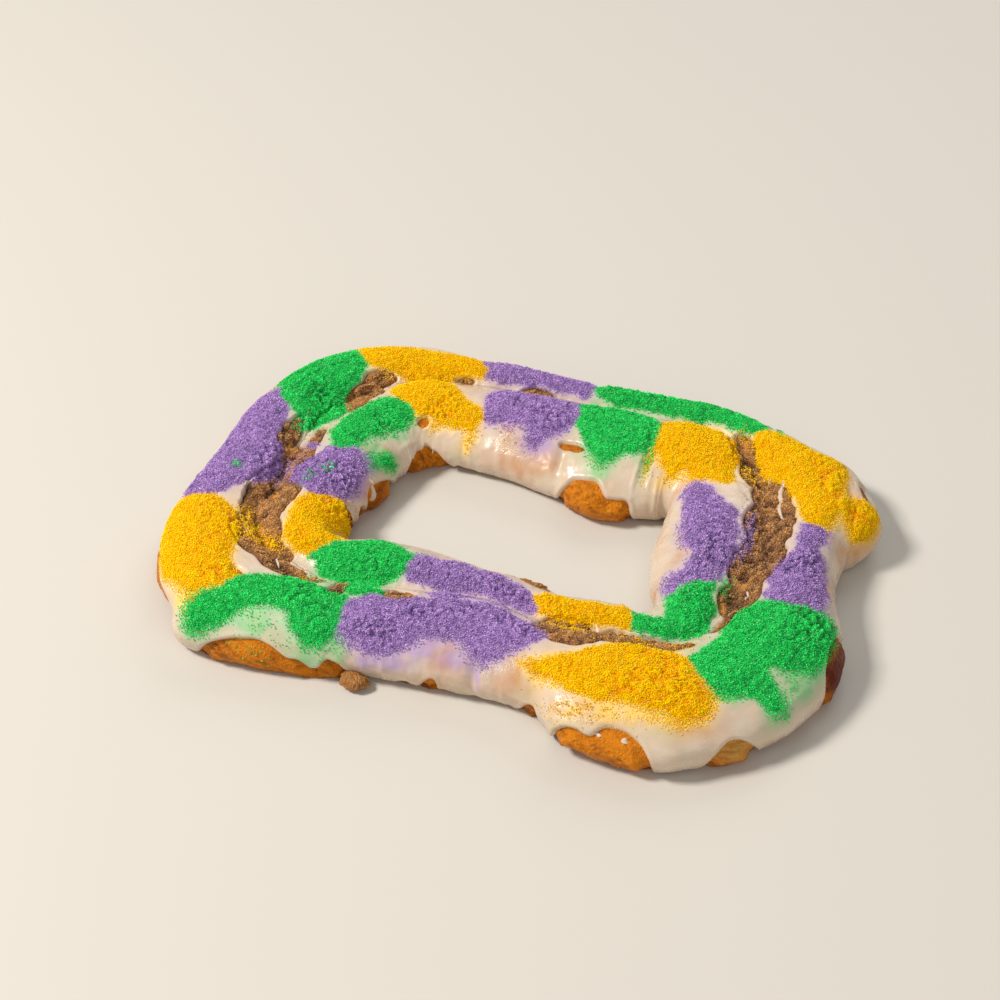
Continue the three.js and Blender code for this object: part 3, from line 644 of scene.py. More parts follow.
@dataclass
class Skin:
    """A fine table of the ring's skin, which every layer is measured from."""

    line: Centreline
    section: Section
    stations: int = 1644
    columns: int = 160
    rays: int = 96
    short_step: float = 0.55

    def __post_init__(self) -> None:
        """Works out the table: stations round the ring by even shares of each side."""
        line = self.line
        self.s = line.stations(self.stations)
        outer, self.outer_length = self._side(1)
        inner, self.inner_length = self._side(-1)
        profile = np.concatenate([inner[:, :0:-1], outer], 1)
        centre, outward = line.place(self.s)
        level = centre + profile[..., :1] * outward
        self.points = np.concatenate([level, profile[..., 1:]], -1)
        self.share = np.linspace(-1, 1, 2 * self.columns + 1)[None, :]
        self.v = self.share * np.where(self.share < 0, self.inner_length, self.outer_length)
        swell = self.dabs(SWELLS)
        self.points = self.points + surface_normals(self.points) * swell[..., None]
        self.normals = surface_normals(self.points)
        self._measure()

    def _side(self, sign: int) -> tuple[Array, Array]:
        """One side of the section at every station, at even lengths from groove to foot."""
        curve, section = self.line.curve, self.section
        groove = curve(GROOVE_PLACE, self.s)
        sizes = np.stack([
            groove,
            curve(OUTER_REACH, self.s) - groove,
            curve(INNER_REACH, self.s) + groove,
            curve(OUTER_HEIGHT, self.s) - section.hub_height,
            curve(INNER_HEIGHT, self.s) - section.hub_height,
        ])
        low = np.full(self.s.shape, math.pi / 2)
        high = np.full(self.s.shape, math.pi * 0.8)
        for _ in range(30):
            middle = (low + high) / 2
            above = section.point(sizes, sign * middle)[1] > 0
            low, high = np.where(above, middle, low), np.where(above, high, middle)
        shares = np.linspace(0, 1, self.rays + 1)
        outwards, up = section.point(sizes, sign * low * shares)
        steps = np.hypot(np.diff(outwards, axis=1), np.diff(up, axis=1))
        lengths = np.concatenate([np.zeros(self.s.shape), np.cumsum(steps, 1)], 1)
        even = lengths[:, -1:] * np.linspace(0, 1, self.columns + 1)
        side = np.stack([rows_interp(even, lengths, each) for each in (outwards, up)], -1)
        return side, lengths[:, -1:]

    def _measure(self) -> None:
        """Measures the table's steps in space, for distances along the skin."""
        self.steps = {
            shift: np.linalg.norm(self.points - np.roll(self.points, shift, (0, 1)), axis=-1)
            for shift in ((1, 0), (0, 1), (1, 1), (1, -1))
        }
        self.step_s = (self.steps[1, 0] + np.roll(self.steps[1, 0], -1, 0)) / 2
        over = np.linalg.norm(np.gradient(self.points, axis=1), axis=-1)
        self.step_v = np.maximum(over, 1e-3)
        self.area = self.step_s * self.step_v

    def dabs(self, table: tuple[tuple[float, ...], ...]) -> Array:
        """The sum of soft dabs (s, v, half length, half width[, height]): height * exp(-2 * off^2)."""
        total = np.zeros(self.v.shape)
        for s, v, half_length, half_width, *height in table:
            off = (self.line.along(s, self.s) / half_length) ** 2 + ((self.v - v) / half_width) ** 2
            total += (height[0] if height else 1.0) * np.exp(-2 * off)
        return total

    def in_dabs(self, table: tuple[tuple[float, ...], ...]) -> Array:
        """How far inside the deepest of some oval dabs each place is."""
        deepest = np.full(self.v.shape, -1e3)
        for s, v, half_length, half_width in table:
            off = np.hypot(self.line.along(s, self.s) / half_length, (self.v - v) / half_width)
            deepest = np.maximum(deepest, (1 - off) * min(half_length, half_width))
        return deepest

    def noise(self, seed: int, cell_s: float, cell_v: float) -> Array:
        """Gradient noise over the table."""
        return Noise(seed, cell_s, cell_v, self.line.perimeter)(self.s, self.v)

    def waves(self, table: tuple[tuple[float, ...], ...]) -> Array:
        """The sum of noises (seed, cell along the ring, cell over it, height)."""
        return sum(height * self.noise(seed, along, over) for seed, along, over, height in table)

    def rough(self, seed: int, cell: float, octaves: int, gain: float = 0.55) -> Array:
        """Noise in octaves: each has half the last one's cell and a share of its height."""
        return sum(
            gain**k * self.noise(seed + k, cell / 2**k, cell / 2**k) for k in range(octaves)
        )

    @staticmethod
    def softened(field: Array, times: int) -> Array:
        """A field mixed with its neighbours along the ring, time after time, by 1, 2 and 1."""
        for _ in range(times):
            field = (np.roll(field, 1, 0) + 2 * field + np.roll(field, -1, 0)) / 4
        return field

    def slopes(self, field: Array) -> tuple[Array, Array]:
        """A field's slope along the ring and over the skin, per millimetre."""
        ahead = (np.roll(field, -1, 0) - np.roll(field, 1, 0)) / (2 * self.step_s)
        return ahead, np.gradient(field, axis=1) / self.step_v

    def distance(self, inside: Array, reach: float) -> Array:
        """The distance over the skin to a field's zero line, plus where the field is.

        Next to the line it is the field over its slope. From there it spreads by the shortest way
        over the table's eight neighbours.

        Args:
            inside: a field that is above zero inside.
            reach: the farthest distance that matters.

        Returns:
            The signed distance, no farther than reach.
        """
        slope = np.maximum(np.hypot(*self.slopes(inside)), 1e-6)
        sign = inside > 0
        near = np.zeros(inside.shape, bool)
        for shift in self.steps:
            for way in (1, -1):
                near |= sign != np.roll(sign, (way * shift[0], way * shift[1]), (0, 1))
        found = np.where(near, np.minimum(np.abs(inside) / slope, 1.5), reach)
        for _ in range(math.ceil(reach / self.short_step)):
            for shift, step in self.steps.items():
                found = np.minimum(found, np.roll(found, shift, (0, 1)) + step)
                back = (-shift[0], -shift[1])
                found = np.minimum(found, np.roll(found + step, back, (0, 1)))
        return np.where(sign, found, -found)

    def places(self, stations: int, across: Array) -> tuple[Array, Array]:
        """The s of every vertex of a grid, and how far across the ring it is."""
        return np.broadcast_arrays(self.line.stations(stations), across)

    def sample(self, table: Array, s: Array, share: Array) -> Array:
        """A table's value at places, mixed from the four round each."""
        x = np.mod(s, self.line.perimeter) / self.line.perimeter * self.stations
        y = np.clip((share + 1) * self.columns, 0, 2 * self.columns - 1e-6)
        x, y = np.broadcast_arrays(x, y)
        i, j = np.floor(x).astype(int), np.floor(y).astype(int)
        f, g = x - i, y - j
        if table.ndim == 3:
            f, g = f[..., None], g[..., None]
        i, after = i % self.stations, (i + 1) % self.stations
        here = table[i, j] * (1 - g) + table[i, j + 1] * g
        there = table[after, j] * (1 - g) + table[after, j + 1] * g
        return here * (1 - f) + there * f

    def share_at(self, s: Array, v: Array) -> Array:
        """The share of the way to the foot at places (s, v)."""
        x = np.mod(s, self.line.perimeter)
        lengths = [
            np.interp(x, self.s[:, 0], length[:, 0], period=self.line.perimeter)
            for length in (self.inner_length, self.outer_length)
        ]
        return v / np.where(v < 0, *lengths)

    def raised(self, lift: Array, s: Array, share: Array) -> Array:
        """Points over the skin at places, by a table of lifts."""
        normals = self.sample(self.normals, s, share)
        return self.sample(self.points, s, share) + normals * self.sample(lift, s, share)[..., None]


# ------------------------------------------------------------------ the layers' relief
@dataclass(frozen=True)
class LayerSizes:
    """Thicknesses and reliefs of the layers."""

    icing: float = 2.0
    gap: float = 0.4
    lip_round: float = 2.6
    lip_bead: float = 0.5
    drip_clearance: float = 2.4
    foot_bulge: float = 4.0
    edge_reach: float = 4.0
    edge_softening: int = 10
    sunk: float = 1.1
    sugar_rim: float = 0.25
    sugar_crown: float = 1.5
    sugar_slope: float = 9.0
    furrow: float = 1.3
    crust_rise: float = 1.0
    crust_swell: float = 0.6
    crack: float = 1.0
    filling_low: float = 0.5
    filling_relief: float = 1.3
    filling_pits: float = 2.0
    filling_hollows: float = 1.6
    filling_fall: float = 6.0
    filling_dive: float = 3.0
    lip_tuck: float = 1.1
    trough: float = 4.0


@dataclass
class Layers:
    """Tables of where each layer's surface lies and what stains it, all over the skin."""

    skin: Skin
    sizes: LayerSizes

    def __post_init__(self) -> None:
        """Works out every layer, from the dough up."""
        skin = self.skin
        self.icing_inside = skin.distance(self._icing_field(), 10.0)
        self.sugar_inside = self._sugar_fields()
        downhill = 0.25 + 0.75 * smooth_step((np.abs(skin.share) - 0.35) / 0.25)
        wild = np.clip(0.5 + 0.6 * skin.noise(25, 26, 20), 0, 1)
        self.softness = 1.2 + 6.5 * wild**1.3 * downhill
        self.bed_inside = {
            colour: inside - 0.5 * self.softness - 0.3
            for colour, inside in self.sugar_inside.items()
        }
        self.dough_lift = self._dough()
        self.filling_lift = self._filling()
        self.icing_lift = self._icing()
        under = np.maximum(self.dough_lift, self.filling_lift)
        self.ground = np.maximum(self.icing_lift, under)
        self.clodded = np.clip(skin.dabs(CLODDED), 0, 1)
        self.sugar_clods = {}
        self.sugar_lift = {colour: self._sugar(colour) for colour in Colour}
        self.top = np.maximum(self.ground, np.max(list(self.sugar_lift.values()), axis=0))
        self.spills = {colour: skin.dabs(SPILLS[colour]) for colour in Colour}

    def _over_edge(self, strand: Strand, length: Array, arches: tuple[Arch, ...]) -> Array:
        """How far each place stands over the icing's lower edge.

        It is the height over the foot, less the highest arch there or a least height. An arch's
        height is its rise times (1 - off^square)^(1/square), off being the share of its half length.

        Args:
            strand: the strand.
            length: that strand's lengths from groove to foot.
            arches: its arches.

        Returns:
            The table, below zero where crust shows.
        """
        skin, line = self.skin, self.skin.line
        height = length - strand.value * skin.v
        rise = np.full(height.shape, self.sizes.drip_clearance)
        for arch in arches:
            middle, half = (arch.start + arch.end) / 2, (arch.end - arch.start) / 2
            off = np.abs(line.along(middle, skin.s - arch.lean * height) / half)
            oval = np.clip(1 - off**arch.square, 0, 1) ** (1 / arch.square)
            rise = np.maximum(rise, arch.rise * oval)
        return height - rise

    def _icing_field(self) -> Array:
        """Above zero inside the icing's edge: clear of both feet's arches and of the openings."""
        skin, sizes = self.skin, self.sizes
        wander = skin.waves(FOOT_EDGE_WAVES)
        outer = self._over_edge(Strand.OUTER, skin.outer_length, OUTER_ARCHES) + wander
        inner = self._over_edge(Strand.INNER, skin.inner_length, INNER_ARCHES) + wander
        edge = skin.waves(OPENING_EDGE_WAVES)
        opening = np.maximum(-skin.in_dabs(OPENINGS) + edge, skin.in_dabs(TONGUES) + edge)
        field = np.minimum(np.minimum(outer, inner), opening)
        return skin.softened(np.clip(field, -sizes.edge_reach, sizes.edge_reach), sizes.edge_softening)

    def _patch_field(self, patch: Patch) -> Array:
        """Above zero inside a patch: the distance to its outline along v, less how far past its ends."""
        skin = self.skin
        s, low, high = np.array(patch.outline, float).T
        middle = (s[0] + s[-1]) / 2
        place = middle + skin.line.along(middle, skin.s)
        lowest, highest = np.interp(place, s, low), np.interp(place, s, high)
        past = np.maximum(np.maximum(s[0] - place, place - s[-1]), 0)
        return np.minimum(skin.v - lowest, highest - skin.v) - past

    def _sugar_fields(self) -> dict[Colour, Array]:
        """The signed distance inside each colour's patches, where each gives way to a stronger one."""
        skin = self.skin
        wander = skin.waves(PATCH_EDGE_WAVES)
        fields = {
            colour: wander * (1 if colour is not Colour.GREEN else -1)
            + np.max([self._patch_field(p) for p in PATCHES if p.colour is colour], axis=0)
            for colour in Colour
        }
        found = {}
        for colour, field in fields.items():
            others = np.max([other for key, other in fields.items() if key is not colour], axis=0)
            found[colour] = skin.distance(np.minimum(field, field - others), 16.0)
        return found

    def _dough(self) -> Array:
        """The crust: under the icing, bulging in its arches, with wrinkles along the ring."""
        skin, sizes = self.skin, self.sizes
        bare = smooth_step((-self.icing_inside - 0.5) / 5)
        wrinkle = skin.waves(CRUST_WRINKLES)
        crack = -sizes.crack * np.clip(1 - np.abs(skin.noise(*CRUST_CRACKS)) / 0.12, 0, 1)
        swell = sizes.crust_swell * skin.noise(34, 24, 14)
        foot = sizes.foot_bulge * smooth_step((np.abs(skin.share) - 0.72) / 0.2)
        foot = foot * smooth_step((-self.icing_inside - 3) / 6)
        groove = sizes.trough * smooth_step((26 - np.abs(skin.v)) / 8)
        relief = sizes.crust_rise + swell + wrinkle + crack + foot
        return -(sizes.icing + sizes.gap) + bare * relief - groove

    def _filling(self) -> Array:
        """The filling: lumps, pits and cracks, sunk where the icing's lip hangs over it."""
        skin, sizes = self.skin, self.sizes
        self.filling_clods = 1.25 * skin.rough(41, 9.0, 4, 0.6)
        lumps = sizes.filling_relief * self.filling_clods
        pits = -sizes.filling_pits * np.clip(-skin.noise(46, 6, 5) - 0.3, 0, 1)
        hollow = -sizes.filling_hollows * np.clip(skin.dabs(SHADED_HOLLOWS), 0, 1.2)
        tuck = -sizes.lip_tuck * np.exp(-(((self.icing_inside + 0.6) / 1.1) ** 2))
        side = -sizes.filling_fall * smooth_step((np.abs(skin.v) - 24) / 8)
        under = -sizes.filling_dive * smooth_step((self.icing_inside + 0.3) / 1.2)
        return -sizes.filling_low + lumps + pits + hollow + tuck + side + under

    def _icing(self) -> Array:
        """The icing: level runs, calmer in tight bends, folds, and a bead and round lip at its edge."""
        skin, sizes = self.skin, self.sizes
        inside = self.icing_inside
        down = smooth_step((np.abs(skin.share) - 0.45) / 0.3)
        pleats = smooth_step(0.3 + 1.5 * skin.noise(53, 50, 30))
        flow = 0.5 * skin.noise(51, 22, 16) + 0.35 * down * pleats * skin.noise(52, 10, 34)
        flow += skin.waves(ICING_DIMPLES)
        packed = skin.step_s * len(skin.points) / skin.line.perimeter
        flow = flow * smooth_step(packed / 0.8) + skin.dabs(FOLDS)
        crystals = np.clip(skin.dabs(CRYSTALLISED), 0, 1) * (0.5 * skin.rough(54, 2.4, 2))
        bead = sizes.lip_bead * np.exp(-(((inside - 2.4) / 1.7) ** 2))
        lip = 1 - np.clip(inside / sizes.lip_round, 0, 1)
        high = sizes.icing + sizes.gap + flow + crystals + bead
        over_dough = np.where(
            inside > 0,
            high * np.sqrt(1 - lip * lip) - 0.3 * lip,
            -0.3 - (sizes.sunk + 0.8) * smooth_step(-inside / 0.9),
        )
        return over_dough - (sizes.icing + sizes.gap)

    def _sugar(self, colour: Colour) -> Array:
        """A colour's bed of sugar over what it lies on: thin at its rim, crowned, with soft clods."""
        skin, sizes = self.skin, self.sizes
        inside = self.bed_inside[colour]
        seed = 61 + 10 * list(Colour).index(colour)
        crown = sizes.sugar_crown * smooth_step(inside / sizes.sugar_slope)
        clods = 0.5 * skin.rough(seed, 8.0, 2, 0.6) + 0.85 * skin.rough(seed + 2, 3.4, 2, 0.6)
        clods *= 0.5 + 1.9 * self.clodded
        split = smooth_step(0.3 + 1.8 * skin.noise(seed + 5, 34, 26) + 0.8 * self.clodded)
        furrow = -sizes.furrow * split * np.clip(1 - np.abs(skin.noise(seed + 4, 12, 16)) / 0.12, 0, 1)
        depth = smooth_step(inside / 2.5)
        clods += furrow * smooth_step(inside / 6) - 0.25 * self.clodded
        # The grains' colours read this relief as painted shade in its hollows.
        self.sugar_clods[colour] = clods
        height = sizes.sugar_rim + crown + depth * clods
        return self.ground + np.where(inside > 0, height * smooth_step(inside / 0.9) - 0.05, -0.7)


# ------------------------------------------------------------------ meshes
def new_piece(name: str, vertices: Array, faces: list[Array], smooth: bool = True) -> bpy.types.Object:
    """Puts arrays into a mesh object, in metres.

    Args:
        name: the piece's name.
        vertices: points in millimetres, one a row.
        faces: arrays of corner indices, each array with faces of one size.
        smooth: whether its faces are shaded smooth.

    Returns:
        The object, linked to the scene.
    """
    mesh = bpy.data.meshes.new(name)
    corners = np.concatenate([each.ravel() for each in faces]).astype(np.int32)
    sizes = np.concatenate([np.full(len(each), each.shape[1]) for each in faces])
    mesh.vertices.add(len(vertices))
    mesh.vertices.foreach_set("co", (vertices * MM).astype(np.float32).ravel())
    mesh.loops.add(len(corners))
    mesh.loops.foreach_set("vertex_index", corners)
    mesh.polygons.add(len(sizes))
    starts = np.concatenate([[0], np.cumsum(sizes)[:-1]]).astype(np.int32)
    mesh.polygons.foreach_set("loop_start", starts)
    mesh.polygons.foreach_set("use_smooth", np.full(len(sizes), smooth))
    mesh.update(calc_edges=True)
    mesh.validate()
    piece = bpy.data.objects.new(name, mesh)
    bpy.context.scene.collection.objects.link(piece)
    return piece


def set_field(piece: bpy.types.Object, name: str, *channels: Array) -> None:
    """Stores up to three numbers a vertex as a colour attribute that a material reads."""
    values = np.ones((len(piece.data.vertices), 4), np.float32)
    values[:, : len(channels)] = np.stack([channel.ravel() for channel in channels], -1)
    attribute = piece.data.attributes.new(name, "FLOAT_COLOR", "POINT")
    attribute.data.foreach_set("color", values.ravel())


def set_tables(
    piece: bpy.types.Object, name: str, skin: Skin, tables: tuple[Array, ...], s: Array, share: Array
) -> None:
    """Stores tables as a field of a ring: sampled at its top's places, and zero on its underside."""
    rows = len(piece.data.vertices) // len(s)
    pad = np.zeros((len(s), rows - s.shape[1]))
    tops = (skin.sample(table, s, share) for table in tables)
    set_field(piece, name, *(np.concatenate([top, pad], 1) for top in tops))


def ring_faces(stations: int, columns: int) -> Array:
    """The quads of a grid that closes both round the ring and round its section."""
    i, j = np.meshgrid(np.arange(stations), np.arange(columns), indexing="ij")
    after, over = (i + 1) % stations, (j + 1) % columns
    corners = (i * columns + j, i * columns + over, after * columns + over, after * columns + j)
    return np.stack(corners, -1).reshape(-1, 4)


def strip_faces(along: int, around: int) -> Array:
    """The quads of a grid that closes round its second axis alone."""
    i, j = np.meshgrid(np.arange(along - 1), np.arange(around), indexing="ij")
    over = (j + 1) % around
    corners = (i * around + j, (i + 1) * around + j, (i + 1) * around + over, i * around + over)
    return np.stack(corners, -1).reshape(-1, 4)


def slab_faces(cells: Array) -> tuple[Array, Array]:
    """The quads of a closed slab over some cells of a grid that closes along its first axis.

    The slab has the grid's vertices twice, top and then underside. Each cell has a face on both, and
    a wall where the next cell isn't in the slab.

    Args:
        cells: which cells are in the slab, one fewer across than the grid has columns.

    Returns:
        The quads and, for each vertex of the two grids, whether a quad uses it.
    """
    stations, across = cells.shape
    columns = across + 1
    below = stations * columns
    i, j = np.nonzero(cells)
    after = (i + 1) % stations
    a, b = i * columns + j, i * columns + j + 1
    c, d = after * columns + j + 1, after * columns + j
    quads = [np.stack([a, b, c, d], -1), np.stack([a, d, c, b], -1) + below]
    padded = np.pad(cells, ((0, 0), (1, 1)))
    edges = (
        (a, b, ~np.roll(cells, 1, 0)[i, j]),
        (c, d, ~np.roll(cells, -1, 0)[i, j]),
        (b, c, ~padded[i, j + 2]),
        (d, a, ~padded[i, j]),
    )
    for start, end, open_side in edges:
        p, q = start[open_side], end[open_side]
        quads.append(np.stack([p, p + below, q + below, q], -1))
    faces = np.concatenate(quads)
    used = np.zeros(2 * below, bool)
    used[faces] = True
    return faces, used


def snapped(skin: Skin, inside: Array, s: Array, share: Array, most: float) -> tuple[Array, Array]:
    """Moves the places next to a field's zero line onto it, straight down its slope.

    Args:
        skin: the skin's table.
        inside: a signed distance over the table.
        s: the places' s.
        share: the places' shares.
        most: the farthest that a place is moved.

    Returns:
        The places after that.
    """
    ahead, over = skin.slopes(inside)
    off = skin.sample(inside, s, share)
    ahead, over = skin.sample(ahead, s, share), skin.sample(over, s, share)
    steep = np.maximum(ahead**2 + over**2, 0.3)
    move = np.where(np.abs(off) < most, -off / steep, 0.0)
    per_s = skin.sample(skin.step_s, s, share) * skin.stations / skin.line.perimeter
    per_share = skin.sample(skin.step_v, s, share) * skin.columns
    hem = (np.abs(share) > 1e-9) & (np.abs(share) < 1 - 1e-9)
    return s + move * ahead / per_s, share + np.where(hem, move * over / per_share, 0.0)


@dataclass(frozen=True)
class Dough:
    """The baked dough: one closed ring with a flat underside."""

    stations: int = 1200
    fine: int = 26
    coarse: int = 12
    fine_from: float = 0.55
    under: int = 3

    def build(self, layers: Layers) -> bpy.types.Object:
        """Makes the ring: the lifted skin from foot to foot, its feet let down to the floor, and the
        underside straight between them.

        Args:
            layers: the layers' tables.

        Returns:
            The piece.
        """
        skin = layers.skin
        half = np.concatenate([
            np.linspace(0, self.fine_from, self.coarse, endpoint=False),
            np.linspace(self.fine_from, 1, self.fine + 1),
        ])
        s, share = skin.places(self.stations, np.concatenate([-half[:0:-1], half]))
        top = skin.raised(layers.dough_lift, s, share)
        top[..., 2] = np.maximum(top[..., 2], 0)
        top[:, (0, -1), 2] = 0
        t = np.linspace(0, 1, self.under + 2)[1:-1][None, :, None]
        under = top[:, -1:] * (1 - t) + top[:, :1] * t
        points = np.concatenate([top, under], 1)
        faces = ring_faces(*points.shape[:2])
        piece = new_piece("baked_dough", points.reshape(-1, 3), [faces])
        set_tables(piece, "bake", skin, self.bakes_and_shade(layers), s, share)
        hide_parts("dough")
        return piece

    @staticmethod
    def bakes_and_shade(layers: Layers) -> tuple[Array, Array, Array]:
        """How dark, how pale and how cracked the crust is, from 0 to 1: the darkness is browning with
        painted shade in it, darker towards the foot where the crust meets the floor.
        """
        skin = layers.skin
        # Painted shade and light: the dabs darken the small windows under the icing's lip and lighten the
        # back inner wall.
        dark = skin.dabs(DARK_AND_SHADED_CRUST) + 0.25 * skin.rough(35, 26, 3) + 0.45 * skin.noise(36, 22, 3.4)
        # Painted shade: darker towards the foot, where the crust meets the floor.
        foot = smooth_step((np.abs(skin.share) - 0.9) / 0.1)
        crack = np.clip(1 - np.abs(skin.noise(*CRUST_CRACKS)) / 0.16, 0, 1)
        return np.clip(dark + 0.35 * foot, 0, 1), np.clip(skin.dabs(PALE_CRUST), 0, 1), crack


@dataclass(frozen=True)
class Filling:
    """The cinnamon filling: a ribbon that runs all round between the strands."""

    stations: int = 1290
    columns: int = 72
    from_v: float = -30.0
    to_v: float = 29.0
    depth: float = 7.0

    def build(self, layers: Layers) -> bpy.types.Object:
        """Makes the ribbon: its rough top, and an underside a few millimetres below.

        Args:
            layers: the layers' tables.

        Returns:
            The piece.
        """
        skin = layers.skin
        s, v = skin.places(self.stations, np.linspace(self.from_v, self.to_v, self.columns))
        share = skin.share_at(s, v)
        top = skin.raised(layers.filling_lift, s, share)
        below = (slice(None), (self.columns - 1, self.columns // 2, 0))
        under = skin.raised(layers.filling_lift * 0 - self.depth, s[below], share[below])
        points = np.concatenate([top, under], 1)
        piece = new_piece("filling_ribbon", points.reshape(-1, 3), [ring_faces(*points.shape[:2])])
        set_tables(piece, "bake", skin, self.bakes_and_shade(layers), s, share)
        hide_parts("cinnamon_filling")
        return piece

    @staticmethod
    def bakes_and_shade(layers: Layers) -> tuple[Array, Array, Array]:
        """How dark, how golden and how gold-dusted the filling is, from 0 to 1: the darkness is painted
        shade in its hollows and low places, with stretches that baked darker.
        """
        skin = layers.skin
        dark = np.clip(skin.dabs(SHADED_HOLLOWS), 0, 1) + skin.dabs(DARK_FILLING)
        # Painted shade: the lower the filling's relief, the darker.
        dark += 0.8 * np.clip(-layers.filling_clods - 0.1, 0, 1)
        golden = np.clip(skin.dabs(GOLDEN_SPOTS), 0, 1)
        dusted = np.exp(-np.clip(-layers.sugar_inside[Colour.GOLD], 0, None) / 4)
        return np.clip(dark, 0, 1), golden, dusted


@dataclass(frozen=True)
class IcingStrand:
    """The icing on one strand, from the groove to the foot: a closed ring sunk where crust shows."""

    strand: Strand
    stations: int = 1220
    columns: int = 78
    depth: float = 4.5
    snap: float = 0.5

    def build(self, layers: Layers) -> bpy.types.Object:
        """Makes the sheet, with a row of vertices on its edge, and an underside inside the dough.

        Args:
            layers: the layers' tables.

        Returns:
            The piece.
        """
        skin, sign = layers.skin, self.strand.value
        shares = sign * np.linspace(0, 1, self.columns)
        if sign < 0:
            shares = shares[::-1]
        s, share = skin.places(self.stations, shares)
        s, share = snapped(skin, layers.icing_inside, s, share, self.snap)
        top = skin.raised(layers.icing_lift, s, share)
        top[..., 2] = np.maximum(top[..., 2], 0.2)
        below = (slice(None), (self.columns - 1, self.columns // 2, 0))
        under = skin.raised(layers.icing_lift * 0 - self.depth, s[below], share[below])
        under[..., 2] = np.maximum(under[..., 2], 0.1)
        points = np.concatenate([top, under], 1)
        name = f"{self.strand.name.lower()}_icing"
        piece = new_piece(name, points.reshape(-1, 3), [ring_faces(*points.shape[:2])])
        for field, tables in (("stain", self.stains(layers)), ("pour", self.pours(layers))):
            set_tables(piece, field, skin, tables, s, share)
        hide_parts("icing")
        return piece

    @staticmethod
    def stains(layers: Layers) -> tuple[Array, ...]:
        """How much dissolved sugar of each colour stains the icing: it fades out of its patches. One gold
        run by the ear is painted shade.
        """
        skin = layers.skin
        run = 1 + 0.7 * skin.noise(71, 8, 24) + 0.4 * skin.noise(72, 3, 5)
        reach = 0.8 + 0.9 * layers.softness * np.clip(run, 0.2, 2)
        stains = []
        for colour in Colour:
            away = np.clip(-layers.sugar_inside[colour], 0, None)
            spread = 0.9 * skin.dabs(RUNS_AND_SHADE[colour]) * np.clip(run, 0.3, 1) + 0.4 * layers.spills[colour]
            stains.append(np.clip(np.exp(-away / reach) + spread, 0, 1))
        return tuple(stains)

    @staticmethod
    def pours(layers: Layers) -> tuple[Array, Array, Array]:
        """How thin, how crystallised and how near its edge the icing is, from 0 to 1; the thinness also
        paints shade by the ear.
        """
        skin = layers.skin
        streaks = 0.5 + 0.5 * skin.noise(73, 6, 30) + 0.35 * skin.noise(74, 14, 12)
        thin = np.clip(skin.dabs(THIN_AND_SHADED_ICING) * (0.45 + 0.75 * streaks) + 0.3 * streaks, 0, 1)
        crystals = np.clip(skin.dabs(CRYSTALLISED), 0, 1)
        return thin, crystals, np.exp(-np.clip(layers.icing_inside, 0, None) / 1.2)


@dataclass(frozen=True)
class SugarBed:
    """The bed of one colour of sugar: its heaps in one piece."""

    colour: Colour
    stations: int = 1300
    columns: int = 186
    to_share: float = 0.995
    rim: float = -0.6
    depth: float = 1.4

    def build(self, layers: Layers, nodes: list[str]) -> bpy.types.Object:
        """Makes closed slabs over the grid's cells that the colour covers.

        Args:
            layers: the layers' tables.
            nodes: the names of the nodes that the bed stands for.

        Returns:
            The piece.
        """
        skin = layers.skin
        s, share = skin.places(self.stations, np.linspace(-self.to_share, self.to_share, self.columns))
        inside = skin.sample(layers.bed_inside[self.colour], s, share)
        deep = inside > self.rim
        deep = deep & np.roll(deep, -1, 0)
        faces, used = slab_faces(deep[:, :-1] & deep[:, 1:])
        top = skin.raised(layers.sugar_lift[self.colour], s, share)
        under = skin.raised(layers.ground - self.depth, s, share)
        points = np.concatenate([top.reshape(-1, 3), under.reshape(-1, 3)])
        renumber = np.cumsum(used) - 1
        piece = new_piece(f"{self.colour.name.lower()}_sugar_bed", points[used], [renumber[faces]])
        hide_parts(*nodes)
        return piece


class Form(NamedTuple):
    """A grain's form: its corners about its middle, and its faces."""

    corners: Array
    faces: Array


FOUR_SIDED = Form(
    np.array([(1, 1, 1), (1, -1, -1), (-1, 1, -1), (-1, -1, 1)]) / math.sqrt(3),
    np.array([(0, 1, 2), (0, 2, 3), (0, 3, 1), (1, 3, 2)]),
)
EIGHT_SIDED = Form(
    np.array([(1, 0, 0), (-1, 0, 0), (0, 1, 0), (0, -1, 0), (0, 0, 1), (0, 0, -1)], float),
    np.array([
        (0, 2, 4), (2, 1, 4), (1, 3, 4), (3, 0, 4), (2, 0, 5), (1, 2, 5), (3, 1, 5), (0, 3, 5)
    ]),
)


